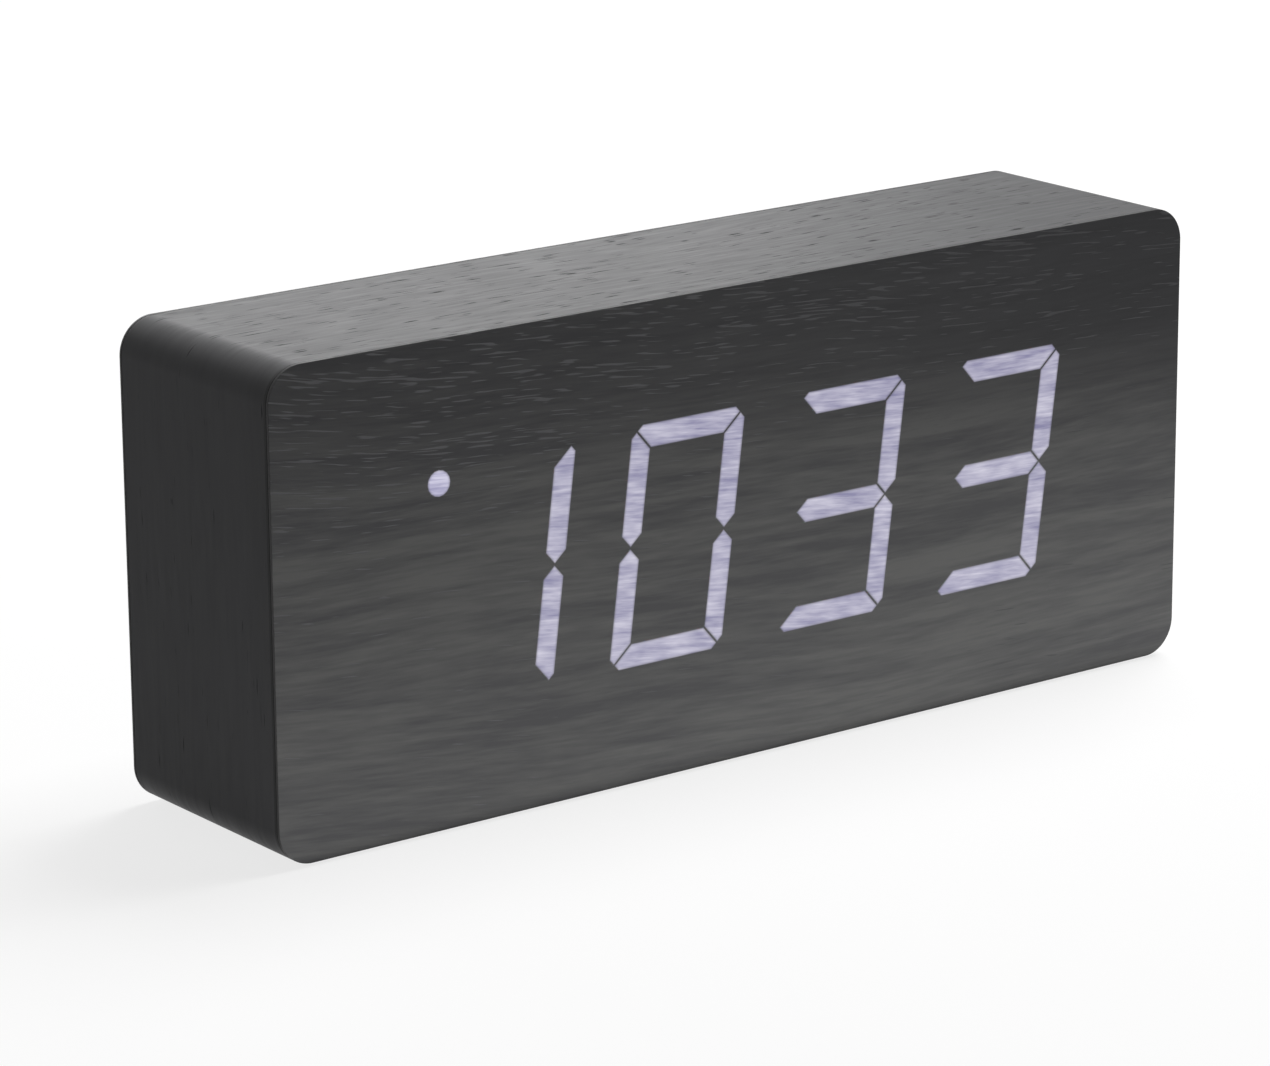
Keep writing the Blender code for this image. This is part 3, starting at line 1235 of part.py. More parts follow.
def make_lead(name, finish, start, pad):
    """Sleeved wire from a contact's tail, under the compartment and up to its solder pad."""
    elbow_x = TUB_START - TUB_WALL - LEAD_ELBOW
    points = []
    for step in range(LEAD_POINTS):
        share = step / LEAD_POINTS
        sag = LEAD_SAG * math.sin(math.pi * share) ** 2
        points.append(Vector((start.x + (elbow_x - start.x) * share, start.y - sag, start.z)))
    for step in range(LEAD_POINTS + 1):
        share = step / LEAD_POINTS
        ease = share * share * (3.0 - 2.0 * share)
        points.append(
            Vector(
                (
                    elbow_x + (pad.x - elbow_x) * share,
                    start.y + (pad.y - start.y) * ease,
                    start.z + (pad.z - start.z) * ease,
                )
            )
        )
    bm = new_shape()
    add_tube(bm, points, LEAD_RADIUS, 6)
    piece(name, bm, finish, REAR, smooth=True)


def make_leads():
    tail_y = TUB_FLOOR - TUB_WALL - TAIL_REACH / 2
    pad_y = BOARD_FRONT - STACK_GAP - LEAD_RADIUS
    pad_x = BOARD_RIGHT - LEAD_PAD_INSET
    gap = FIT_GAP + LEAD_RADIUS
    screw_rise = BOARD_TOP - BOSS_INSET - MIDDLE_Z
    pad_rise = min(CELL_PITCH, screw_rise - BOARD_SCREW_HEAD_RADIUS - gap)
    start = Vector((TUB_START - gap, tail_y, CELL_LEVELS[0]))
    make_lead("battery_lead_black", BLACK_SLEEVE, start, Vector((pad_x, pad_y, MIDDLE_Z - pad_rise)))
    start = Vector((TUB_END - PLATE_ROOM - gap, tail_y, CELL_LEVELS[-1]))
    make_lead("battery_lead_red", RED_SLEEVE, start, Vector((pad_x, pad_y, MIDDLE_Z + pad_rise)))


make_case_body()
make_front_veneer()
make_wrap_veneer()
make_rear_veneer()
make_feet()
make_display_mask()
make_light_guide()
make_reflector()
make_display_board()
make_display_screws()
make_display_connector()
make_rear_cover()
make_battery_door()
make_cells()
make_contacts()
make_control_board()
make_buttons()
make_usb_socket()
make_board_parts()
make_board_screws()
make_cover_screws()
make_ribbon()
make_leads()
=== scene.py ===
"""Looks of a veneered block alarm clock whose digits shine through its front.

Metres, +Z up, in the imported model's own frame: X runs to the right seen from the front, the
front faces -Y, and the clock stands on Z = 0.
"""

import math

import bmesh
import bpy
from mathutils import Matrix, Vector


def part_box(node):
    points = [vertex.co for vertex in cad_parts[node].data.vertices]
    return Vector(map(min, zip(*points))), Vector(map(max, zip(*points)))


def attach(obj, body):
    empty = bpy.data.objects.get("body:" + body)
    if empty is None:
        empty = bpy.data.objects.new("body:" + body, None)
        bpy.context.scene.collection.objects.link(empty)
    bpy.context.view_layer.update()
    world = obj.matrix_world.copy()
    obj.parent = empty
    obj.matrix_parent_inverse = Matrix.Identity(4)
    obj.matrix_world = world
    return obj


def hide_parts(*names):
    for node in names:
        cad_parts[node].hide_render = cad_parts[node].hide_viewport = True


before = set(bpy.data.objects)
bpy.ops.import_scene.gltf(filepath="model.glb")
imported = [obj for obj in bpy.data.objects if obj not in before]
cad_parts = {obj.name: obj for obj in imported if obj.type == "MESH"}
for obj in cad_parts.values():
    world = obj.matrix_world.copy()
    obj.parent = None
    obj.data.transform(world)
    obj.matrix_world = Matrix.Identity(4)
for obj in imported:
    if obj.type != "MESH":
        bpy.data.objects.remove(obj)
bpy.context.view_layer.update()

# Front veneer: a leaf of open-pored wood 0.6 mm thick, stained charcoal and sealed satin, glued
# over the milled block with its grain level. Its rim is sanded round, and the cut edge behind
# the rim is painted almost black: painted shade of the seam against the wrap.
MM = 0.001


def linear(colour):
    """An sRGB hex colour as linear red, green, blue and alpha."""
    channels = [int(colour[place:place + 2], 16) / 255 for place in (1, 3, 5)]
    return (*(c / 12.92 if c <= 0.04045 else ((c + 0.055) / 1.055) ** 2.4 for c in channels), 1.0)


def add_node(tree, kind, inputs=None, output=0, **settings):
    """Adds a node with its settings and inputs, each a value or an output, and gives its own output."""
    made = tree.nodes.new("ShaderNode" + kind)
    for name, value in settings.items():
        setattr(made, name, value)
    for socket, value in (inputs or {}).items():
        if isinstance(value, bpy.types.NodeSocket):
            tree.links.new(value, made.inputs[socket])
        else:
            made.inputs[socket].default_value = value
    return made.outputs[output]


def new_material(name):
    """A material without any nodes, and its tree."""
    made = bpy.data.materials.new(name)
    made.use_nodes = True
    made.node_tree.nodes.clear()
    return made, made.node_tree


def show(tree, surface, what="Material"):
    """Wires the finished surface to the output of its material or world."""
    tree.links.new(surface, tree.nodes.new("ShaderNodeOutput" + what).inputs["Surface"])


def rounded(width, height, radius, centre, steps=20):
    """Outline of an upright rectangle with round corners, as (x, z) points."""
    points = []
    for quarter, (side, level) in enumerate(((1, -1), (1, 1), (-1, 1), (-1, -1))):
        for step in range(steps + 1):
            angle = (quarter - 1 + step / steps) * math.pi / 2
            x = centre[0] + side * (width / 2 - radius) + radius * math.cos(angle)
            points.append((x, centre[1] + level * (height / 2 - radius) + radius * math.sin(angle)))
    return points


def grown(outline, margin):
    """The convex outline with every side moved outwards by the margin."""
    lines = []
    for (x0, z0), (x1, z1) in zip(outline, outline[1:] + outline[:1]):
        length = math.hypot(x1 - x0, z1 - z0)
        normal = ((z1 - z0) / length, (x0 - x1) / length)
        lines.append((normal, normal[0] * x0 + normal[1] * z0 + margin))
    moved = []
    for (before, reach), (after, next_reach) in zip(lines[-1:] + lines[:-1], lines):
        cross = before[0] * after[1] - before[1] * after[0]
        x = (reach * after[1] - next_reach * before[1]) / cross
        moved.append((x, (next_reach * before[0] - reach * after[0]) / cross))
    return moved


def ring(bm, outline, level):
    """Vertices of an outline at one depth, closed by edges."""
    verts = [bm.verts.new((x, level, z)) for x, z in outline]
    for vert, following in zip(verts, verts[1:] + verts[:1]):
        bm.edges.new((vert, following))
    return verts


def bridge(bm, rings, material=0):
    for first, second in zip(rings, rings[1:]):
        for place in range(len(first)):
            after = (place + 1) % len(first)
            face = bm.faces.new((first[place], first[after], second[after], second[place]))
            face.material_index = material


def fill(bm, rings, material=0):
    """Flat faces between an outer ring and the rings of its holes."""
    pairs = [pair for loop in rings for pair in zip(loop, loop[1:] + loop[:1])]
    edges = [bm.edges.get(pair) for pair in pairs]
    made = bmesh.ops.triangle_fill(bm, use_beauty=True, use_dissolve=False, edges=edges)
    for face in made["geom"]:
        if isinstance(face, bmesh.types.BMFace):
            face.material_index = material


RIM_RADIUS = 0.11 * MM
RIM_GUARD = 0.05 * MM


def rim(radius, steps=4):
    """A rounded edge as (inset from the outline, depth from the face) pairs, from the face outwards.
    The first pair is a guard just inside it, so that the flat face is shaded flat."""
    turns = [math.pi / 2 * step / steps for step in range(steps + 1)]
    bend = [(radius * (1 - math.sin(turn)), radius * (1 - math.cos(turn))) for turn in turns]
    return [(radius + RIM_GUARD, 0.0)] + bend


def soft_plate(bm, outer, holes, face, back, radius):
    """A plate from face to back, whose face has round rims outside and at each hole.
    An outline is a function of its inset: outer(0.001) is 1 mm inside the outer edge."""
    inward = 1 if back > face else -1
    face_rings, back_rings = [], []
    for outline, sign in [(outer, 1)] + [(hole, -1) for hole in holes]:
        rings = [ring(bm, outline(sign * inset), face + inward * depth) for inset, depth in rim(radius)]
        rings.append(ring(bm, outline(0.0), back))
        bridge(bm, rings)
        face_rings.append(rings[0])
        back_rings.append(rings[-1])
    fill(bm, face_rings)
    fill(bm, back_rings)


SHARP_ANGLE = math.radians(35.0)


def as_piece(name, bm, materials, body, replaced=()):
    """A finished piece of the clock that rides on its body and stands for its CAD nodes."""
    bmesh.ops.recalc_face_normals(bm, faces=bm.faces)
    mesh = bpy.data.meshes.new(name)
    bm.to_mesh(mesh)
    bm.free()
    made = bpy.data.objects.new(name, mesh)
    bpy.context.scene.collection.objects.link(made)
    for material in materials:
        mesh.materials.append(material)
    mesh.shade_smooth()
    mesh.set_sharp_from_angle(angle=SHARP_ANGLE)
    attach(made, body)
    if replaced:
        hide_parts(*replaced)
    return made


def drawn_out(tree, grain, length, width, detail=2.0, rough=0.5):
    """Noise drawn out along the grain, whose marks have this real length and width."""
    scaled = add_node(tree, "Mapping", {"Vector": grain, "Scale": (1 / length, 1 / width, 1 / width)})
    return add_node(
        tree, "TexNoise", {"Vector": scaled, "Scale": 1.0, "Detail": detail, "Roughness": rough}
    )


def wandering_grain(tree, grain):
    """The grain's own frame, pushed up and down a little so that its lines wave."""
    drift = drawn_out(tree, grain, 120 * MM, 40 * MM, 1.0)
    drift = add_node(tree, "Math", {0: drift, 1: -0.5}, operation="ADD")
    drift = add_node(tree, "Math", {0: drift, 1: 12 * MM}, operation="MULTIPLY")
    drift = add_node(tree, "CombineXYZ", {"Z": drift})
    return add_node(tree, "VectorMath", {0: grain, 1: drift}, operation="ADD")


# Where the noise of the dashes is above this level, less their share, a pore is open.
OPEN_LEVEL = 0.76
SATIN_SHINE = 0.25


def veneer_surface(tree, grain, ground, figure, pores, painted_edge_shade=None, more_pores=0.0, slant=0.0):
    """Veneer in a charcoal stain under a satin seal. The ground is its dark and its light tone, the
    figure is the contrast of its bands and its fibres, and pores are their colour, share, roughness,
    length and width, and the slant turns them across the bands. The pore colour is painted light and
    shade in the pores, and a given edge shade mixes in near-black painted shade. Returns the shader's
    inputs."""
    pore_light_and_shade, pore_share, pore_roughness, pore_length, pore_width = pores
    wandering = wandering_grain(tree, grain)
    bands = drawn_out(tree, wandering, 90 * MM, 5.0 * MM, 3.0, 0.55)
    fibres = drawn_out(tree, wandering, 14 * MM, 1.1 * MM, 3.0, 0.6)
    slanting = add_node(tree, "Mapping", {"Vector": wandering, "Rotation": (0.0, slant, 0.0)})
    dashes = drawn_out(tree, slanting, pore_length, pore_width, 0.0)
    clusters = drawn_out(tree, slanting, 26 * MM, 3.5 * MM, 2.0)
    clusters = add_node(tree, "MapRange", {0: clusters, 1: 0.38, 2: 0.66, 3: -0.05, 4: 0.07})
    edge = add_node(tree, "Math", {0: OPEN_LEVEL - pore_share, 1: clusters}, operation="SUBTRACT")
    edge = add_node(tree, "Math", {0: edge, 1: more_pores}, operation="SUBTRACT")
    open_pores = add_node(tree, "Math", {0: dashes, 1: edge}, operation="SUBTRACT")
    open_pores = add_node(tree, "MapRange", {0: open_pores, 1: 0.0, 2: 0.09, 3: 0.0, 4: 1.0})
    band_contrast, fibre_contrast = figure
    level = 0.5 - band_contrast / 2
    tone = add_node(tree, "Math", {0: bands, 1: band_contrast, 2: level}, operation="MULTIPLY_ADD")
    level = -fibre_contrast / 2
    fine = add_node(tree, "Math", {0: fibres, 1: fibre_contrast, 2: level}, operation="MULTIPLY_ADD")
    tone = add_node(tree, "Math", {0: tone, 1: fine}, operation="ADD", use_clamp=True)
    dark, light = ground
    colour = add_node(tree, "Mix", {0: tone, 6: dark, 7: light}, 2, data_type="RGBA")
    colour = add_node(tree, "Mix", {0: open_pores, 6: colour, 7: pore_light_and_shade}, 2, data_type="RGBA")
    # Painted shade: near black where the edge shade is set, as the shadow line at a seam.
    if painted_edge_shade is not None:
        tones = {0: painted_edge_shade, 6: colour, 7: linear("#070708")}
        colour = add_node(tree, "Mix", tones, 2, data_type="RGBA")
    roughness = add_node(tree, "MapRange", {0: fibres, 1: 0.3, 2: 0.7, 3: 0.40, 4: 0.52})
    roughness = add_node(tree, "Mix", {0: open_pores, 2: roughness, 3: pore_roughness})
    height = add_node(tree, "Math", {0: fibres, 1: 0.35}, operation="MULTIPLY")
    height = add_node(tree, "Math", {0: height, 1: open_pores}, operation="SUBTRACT")
    normal = add_node(tree, "Bump", {"Strength": 0.5, "Distance": 0.04 * MM, "Height": height})
    return {"Base Color": colour, "Roughness": roughness, "Normal": normal}


BOW = 8.0 * MM
SLANT = math.radians(-3.5)


def bowed(tree, place):
    """The front leaf's grain, which climbs towards its left end as the trunk's taper was cut."""
    left = add_node(tree, "SeparateXYZ", {0: place}, "X")
    left = add_node(tree, "MapRange", {0: left, 1: -width / 2, 2: width * 0.3, 3: 1.0, 4: 0.0})
    left = add_node(tree, "Math", {0: left, 1: 2.0}, operation="POWER")
    left = add_node(tree, "Math", {0: left, 1: -BOW}, operation="MULTIPLY")
    left = add_node(tree, "CombineXYZ", {"Z": left})
    return add_node(tree, "VectorMath", {0: place, 1: left}, operation="ADD")


def front_wood(tree, place, painted_edge_shade=None):
    """The front leaf's figure: the ground darkens towards the top, and lower down on the right, partly
    a darker band of the leaf and partly painted shade of a front lit more from below. The open pores
    are many there, cut at a slant, and painted pale as a highlight; on the left they are paler and
    reach lower."""
    dark_band_and_shade, reach = (
        add_node(tree, "VectorMath", {0: place, 1: (tilt, 0.0, 1.0)}, "Value", operation="DOT_PRODUCT")
        for tilt in (0.08, -0.1)
    )
    dark_band_and_shade = add_node(
        tree, "MapRange", {0: dark_band_and_shade, 1: 50 * MM, 2: 78 * MM}, interpolation_type="SMOOTHSTEP"
    )
    across = add_node(tree, "SeparateXYZ", {0: place}, "X")
    # The pores' pale colour, paler on the left, is a painted highlight of light caught on their walls.
    pale = add_node(tree, "MapRange", {0: across, 1: -60 * MM, 2: 60 * MM, 3: 1.0, 4: 0.0})
    tones = {0: pale, 6: linear("#414143"), 7: linear("#575759")}
    pale = add_node(tree, "Mix", tones, 2, data_type="RGBA")
    across = add_node(tree, "MapRange", {0: across, 1: -80 * MM, 2: 90 * MM, 3: 1.25, 4: 2.0})
    dark_band_and_shade = add_node(tree, "Math", {0: dark_band_and_shade, 1: across}, operation="MULTIPLY")
    # Both tones darken towards the top and lower down on the right: partly a darker band in the leaf's
    # figure, partly painted shade.
    ground = []
    for low, high in (("#39393b", "#2d2d2f"), ("#565655", "#434343")):
        tones = {0: dark_band_and_shade, 6: linear(low), 7: linear(high)}
        ground.append(add_node(tree, "Mix", tones, 2, data_type="RGBA", clamp_factor=False))
    more = add_node(tree, "MapRange", {0: reach, 1: 44 * MM, 2: 80 * MM, 3: -0.05, 4: 0.10})
    pores = (pale, 0.02, 0.6, 5.4 * MM, 0.43 * MM)
    grain = bowed(tree, place)
    return veneer_surface(tree, grain, ground, (2.4, 2.0), pores, painted_edge_shade, more, SLANT)


def front_veneer_material():
    made, tree = new_material("charcoal_stained_veneer_front")
    place = add_node(tree, "TexCoord", output="Object")
    depth = add_node(tree, "SeparateXYZ", {0: place}, "Y")
    # Painted shade: the cut edge behind the rim goes near black, as the shadow line of the seam against
    # the wrap.
    shade_start_depth, shade_full_depth = front_y + RIM_RADIUS * 0.6, front_y + RIM_RADIUS
    cut = add_node(tree, "MapRange", {0: depth, 1: shade_start_depth, 2: shade_full_depth})
    wood = front_wood(tree, place, cut)
    surface = add_node(tree, "BsdfPrincipled", {**wood, "Specular IOR Level": SATIN_SHINE})
    show(tree, surface)
    return made


WELD_DISTANCE = 0.001 * MM


def tidied(outline):
    """The outline counter-clockwise, without points that lie on a straight side."""
    kept = []
    for place, (x, z) in enumerate(outline):
        before, after = outline[place - 1], outline[(place + 1) % len(outline)]
        turn = (x - before[0]) * (after[1] - z) - (z - before[1]) * (after[0] - x)
        if abs(turn) > 1e-9:
            kept.append((x, z))
    area = sum(x0 * z1 - x1 * z0 for (x0, z0), (x1, z1) in zip(kept, kept[1:] + kept[:1]))
    return kept if area > 0 else kept[::-1]


def bar_outlines(node):
    """Outlines of the lit bars, read from the foremost faces of the CAD light guide."""
    bm = bmesh.new()
    bm.from_mesh(node.data)
    bmesh.ops.remove_doubles(bm, verts=bm.verts, dist=WELD_DISTANCE)
    foremost = min(vert.co.y for vert in bm.verts)
    for face in bm.faces:
        face.tag = all(vert.co.y < foremost + 0.01 * MM for vert in face.verts)
    after = {}
    for loop in (loop for face in bm.faces if face.tag for loop in face.loops):
        if not all(other.tag for other in loop.edge.link_faces):
            after[loop.vert] = loop.link_loop_next.vert
    outlines = []
    while after:
        vert = next(iter(after))
        outline = []
        while vert in after:
            outline.append((vert.co.x, vert.co.z))
            vert = after.pop(vert)
        outlines.append(tidied(outline))
    bm.free()
    return sorted(outlines)


leaf_low, leaf_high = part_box("front_veneer")
front_y = leaf_low.y
block_low, block_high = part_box("wrap_veneer")
width, wood_height = block_high.x - block_low.x, block_high.z - block_low.z
middle_z = (block_high.z + block_low.z) / 2
corner_radius = 6.8 * MM
bars = bar_outlines(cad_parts["light_guide"])


def wood_outline(inset):
    return rounded(width - 2 * inset, wood_height - 2 * inset, corner_radius - inset, (0.0, middle_z))


GLOW_SPREAD = 0.20 * MM
WINDOW_GAP = 0.01 * MM
bm = bmesh.new()
rings = [ring(bm, wood_outline(inset), front_y + depth) for inset, depth in rim(RIM_RADIUS)]
rings.append(ring(bm, wood_outline(0.0), leaf_high.y))
bridge(bm, rings)
windows = [grown(outline, GLOW_SPREAD + WINDOW_GAP) for outline in bars]
window_rings = [ring(bm, window, front_y) for window in windows]
window_backs = [ring(bm, window, leaf_high.y) for window in windows]
for window, window_back in zip(window_rings, window_backs):
    bridge(bm, [window, window_back])
fill(bm, [rings[0]] + window_rings)
fill(bm, [rings[-1]] + window_backs)
as_piece("front_leaf", bm, [front_veneer_material()], "root", ["front_veneer"])

# Lit bars: the milky acrylic moulding behind the veneer, a thin web with one raised bar for each
# light. The wood over a lit bar glows pale violet, a little brighter at the lone dot, with its
# fibres drawn in the light. The glow fades over a few tenths of a millimetre at the bar's edge.
GLOW_CORE = 0.45 * MM
WEB_THICKNESS = 0.8 * MM
guide_low, guide_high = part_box("light_guide")


def glowing_veneer_material():
    made, tree = new_material("veneer_with_light_behind")
    place = add_node(tree, "TexCoord", output="Object")
    wood = front_wood(tree, place)
    wandering = wandering_grain(tree, bowed(tree, place))
    slanting = add_node(tree, "Mapping", {"Vector": wandering, "Rotation": (0.0, SLANT, 0.0)})
    streaks = drawn_out(tree, slanting, 9 * MM, 0.7 * MM, 3.0, 0.65)
    clouds = drawn_out(tree, slanting, 8 * MM, 3 * MM, 2.0)
    light = add_node(tree, "Math", {0: clouds, 1: 0.8, 2: streaks}, operation="MULTIPLY_ADD")
    light = add_node(tree, "MapRange", {0: light, 1: 0.62, 2: 1.18, 3: 0.0, 4: 1.0})
    tones = {0: light, 6: linear("#7d7a9f"), 7: linear("#cac7d9")}
    glow = add_node(tree, "Mix", tones, 2, data_type="RGBA")
    edge = add_node(tree, "Attribute", output="Fac", attribute_name="glow")
    edge = add_node(tree, "MapRange", {0: edge, 1: 0.0, 2: 1.0}, interpolation_type="SMOOTHSTEP")
    across = add_node(tree, "SeparateXYZ", {0: place}, "X")
    level = add_node(tree, "MapRange", {0: across, 1: -66 * MM, 2: -60 * MM, 3: 1.16, 4: 0.92})
    strength = add_node(tree, "Math", {0: edge, 1: level}, operation="MULTIPLY")
    lit = {"Specular IOR Level": SATIN_SHINE, "Emission Color": glow, "Emission Strength": strength}
    surface = add_node(tree, "BsdfPrincipled", {**wood, **lit})
    show(tree, surface)
    return made


def acrylic_material():
    made, tree = new_material("milky_acrylic_moulded")
    place = add_node(tree, "TexCoord", output="Object")
    cloud = add_node(tree, "TexNoise", {"Vector": place, "Scale": 1 / (3 * MM), "Detail": 2.0})
    tones = {0: cloud, 6: linear("#d8d7e0"), 7: linear("#e6e5ec")}
    colour = add_node(tree, "Mix", tones, 2, data_type="RGBA")
    surface = add_node(
        tree,
        "BsdfPrincipled",
        {"Base Color": colour, "Roughness": 0.35, "Subsurface Weight": 0.3, "Subsurface Scale": 2 * MM},
    )
    show(tree, surface)
    return made


bm = bmesh.new()
glow = bm.verts.layers.float.new("glow")
for outline in bars:
    outer = ring(bm, grown(outline, GLOW_SPREAD), front_y)
    edge = ring(bm, outline, front_y)
    core = ring(bm, grown(outline, -GLOW_CORE), front_y)
    root = ring(bm, grown(outline, GLOW_SPREAD), guide_high.y)
    for verts, value in ((outer, 0.0), (edge, 0.55), (core, 1.0)):
        for vert in verts:
            vert[glow] = value
    bridge(bm, [outer, edge, core])
    fill(bm, [core])
    bridge(bm, [outer, root], 1)
    fill(bm, [root], 1)
web = rounded(guide_high.x - guide_low.x, guide_high.z - guide_low.z, 1.2 * MM, (0.0, middle_z), 4)
web_rings = [ring(bm, web, guide_high.y - WEB_THICKNESS), ring(bm, web, guide_high.y + 0.01 * MM)]
bridge(bm, web_rings, 1)
for web_ring in web_rings:
    fill(bm, [web_ring], 1)
glowing = [glowing_veneer_material(), acrylic_material()]
as_piece("lit_bars", bm, glowing, "root", ["light_guide"])

# Wrap veneer: one band of the same veneer, bent round the block with its grain running along the
# band, so that it lies level on top and upright at the sides.
WRAP_RIM = 0.10 * MM


def wrap_veneer_material():
    """At the sides the pores are closed, and painted shade darkens the sides towards the band's
    front edge, whose arris is almost black."""
    made, tree = new_material("charcoal_stained_veneer_wrap")
    along = add_node(tree, "UVMap", uv_map="band")
    grain = add_node(tree, "Mapping", {"Vector": along, "Rotation": (math.pi / 2, 0.0, 0.0)})
    place = add_node(tree, "TexCoord", output="Object")
    depth = add_node(tree, "SeparateXYZ", {0: place}, "Y")
    # Painted shade on the sides only: near black over the first 0.6 mm behind the front edge, and a
    # darker strip fading out by 8 mm.
    arris_shade_start, arris_shade_end = block_low.y + 0.6 * MM, block_low.y + 1.0 * MM
    arris_shade = add_node(tree, "MapRange", {0: depth, 1: arris_shade_start, 2: arris_shade_end, 3: 1.0, 4: 0.0})
    strip_shade_end = block_low.y + 8 * MM
    front_strip_shade = add_node(tree, "MapRange", {0: depth, 1: block_low.y, 2: strip_shade_end, 3: 0.3, 4: 0.0})
    front_edge_shade = add_node(tree, "Math", {0: arris_shade, 1: front_strip_shade}, operation="MAXIMUM")
    outward = add_node(tree, "SeparateXYZ", {0: place}, "X")
    outward = add_node(tree, "Math", {0: outward}, operation="ABSOLUTE")
    arc, side = block_high.x - corner_radius, block_high.x
    beside = add_node(tree, "MapRange", {0: outward, 1: side - 5 * MM, 2: side - 1 * MM})
    front_edge_shade = add_node(tree, "Math", {0: front_edge_shade, 1: beside}, operation="MULTIPLY")
    ground = linear("#2f2f31"), linear("#373739")
    # The darker pore colour is painted shade in the pores.
    pores = (linear("#2a2a2b"), 0.06, 0.9, 5.5 * MM, 0.48 * MM)
    fewer = add_node(
        tree, "MapRange", {0: outward, 1: arc - 2 * MM, 2: arc + 1 * MM, 3: 0.0, 4: -0.08}
    )
    wood = veneer_surface(tree, grain, ground, (1.6, 0.6), pores, front_edge_shade, fewer)
    surface = add_node(tree, "BsdfPrincipled", {**wood, "Specular IOR Level": 0.12})
    show(tree, surface)
    return made


def lay_along_band(mesh, outline):
    """Writes how far each corner lies along the band and across it, in metres, as a UV map."""
    lengths = [0.0]
    for (x0, z0), (x1, z1) in zip(outline, outline[1:] + outline[:1]):
        lengths.append(lengths[-1] + math.hypot(x1 - x0, z1 - z0))
    count = len(outline)
    place_of = mesh.attributes["place"].data
    layer = mesh.uv_layers.new(name="band")
    for polygon in mesh.polygons:
        places = [place_of[mesh.loops[loop].vertex_index].value for loop in polygon.loop_indices]
        crosses = max(places) - min(places) > 1
        for loop, place in zip(polygon.loop_indices, places):
            if crosses and place == 0:
                place = count
            layer.data[loop].uv = (lengths[place], mesh.vertices[mesh.loops[loop].vertex_index].co.y)


bm = bmesh.new()
place_layer = bm.verts.layers.int.new("place")
wrap_rim = rim(WRAP_RIM, 2)[1:] + [(0.0, WRAP_RIM + RIM_GUARD)]
levels = [(inset, block_low.y + depth) for inset, depth in wrap_rim]
levels += [(inset, block_high.y - depth) for inset, depth in wrap_rim[::-1]]
levels += [(leaf_high.y - leaf_low.y, level) for level in (block_high.y, block_low.y)]
rings = [ring(bm, wood_outline(inset), level) for inset, level in levels]
bridge(bm, rings + rings[:1])
for loop in rings:
    for place, vert in enumerate(loop):
        vert[place_layer] = place
wrap = as_piece("wrap_band", bm, [wrap_veneer_material()], "root", ["wrap_veneer"])
lay_along_band(wrap.data, wood_outline(0.0))

# Case: a block of medium-density fibreboard, milled out from behind for the works. Its fibres are
# pressed flat and bound with resin, so the bare brown board looks felted, with darker specks.


def fibreboard_material():
    made, tree = new_material("fibreboard_milled")
    place = add_node(tree, "TexCoord", output="Object")
    layers = add_node(tree, "Mapping", {"Vector": place, "Scale": (1.0, 3.0, 1.0)})
    cloud = add_node(tree, "TexNoise", {"Vector": layers, "Scale": 1 / (9 * MM), "Detail": 3.0})
    fibres = add_node(tree, "TexNoise", {"Vector": layers, "Scale": 1 / (0.9 * MM), "Detail": 3.0})
    tone = add_node(tree, "MapRange", {0: cloud, 1: 0.3, 2: 0.7})
    tones = {0: tone, 6: linear("#7d5f42"), 7: linear("#937352")}
    colour = add_node(tree, "Mix", tones, 2, data_type="RGBA")
    specks = add_node(tree, "MapRange", {0: fibres, 1: 0.36, 2: 0.46, 3: 0.6, 4: 0.0})
    colour = add_node(tree, "Mix", {0: specks, 6: colour, 7: linear("#54402c")}, 2, data_type="RGBA")
    normal = add_node(tree, "Bump", {"Strength": 0.6, "Distance": 0.06 * MM, "Height": fibres})
    surface = add_node(
        tree,
        "BsdfPrincipled",
        {"Base Color": colour, "Roughness": 0.85, "Normal": normal, "Specular IOR Level": 0.3},
    )
    show(tree, surface)
    return made


def finished(node, material):
    """A CAD piece whose shape stays gets its material in each of its slots."""
    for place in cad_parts[node].material_slots:
        place.material = material


finished("case_body", fibreboard_material())

# Rear veneer: a leaf from the same stained stack on the back, cut out over the cover with a
# rounded opening. Its outer rim is sanded round, and so is the rim of the opening.
rear_low, rear_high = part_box("rear_veneer")
cover_low, cover_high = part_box("rear_cover")
OPENING_MARGIN = 0.3 * MM
OPENING_RADIUS = 8.0 * MM
opening_width = cover_high.x - cover_low.x + 2 * OPENING_MARGIN
opening_height = cover_high.z - cover_low.z + 2 * OPENING_MARGIN


def rear_veneer_material():
    made, tree = new_material("charcoal_stained_veneer_rear")
    place = add_node(tree, "TexCoord", output="Object")
    depth = add_node(tree, "SeparateXYZ", {0: place}, "Y")
    # Painted shade: the cut edge behind the rim goes near black, as on the front leaf.
    shade_full_depth, shade_start_depth = rear_high.y - RIM_RADIUS, rear_high.y - RIM_RADIUS * 0.6
    cut = add_node(tree, "MapRange", {0: depth, 1: shade_full_depth, 2: shade_start_depth, 3: 1.0, 4: 0.0})
    next_leaf = add_node(tree, "VectorMath", {0: place, 1: (0.31, 0.0, 0.17)}, operation="ADD")
    ground = linear("#343436"), linear("#4b4b4b")
    # The pale pore colour is a painted highlight of light caught on the pores' walls, as on the front.
    pores = (linear("#535356"), 0.03, 0.6, 6.5 * MM, 0.50 * MM)
    wood = veneer_surface(tree, next_leaf, ground, (2.4, 2.0), pores, cut)
    surface = add_node(tree, "BsdfPrincipled", {**wood, "Specular IOR Level": SATIN_SHINE})
    show(tree, surface)
    return made


def rear_opening(inset):
    radius = OPENING_RADIUS - inset
    return rounded(opening_width - 2 * inset, opening_height - 2 * inset, radius, (0.0, middle_z))


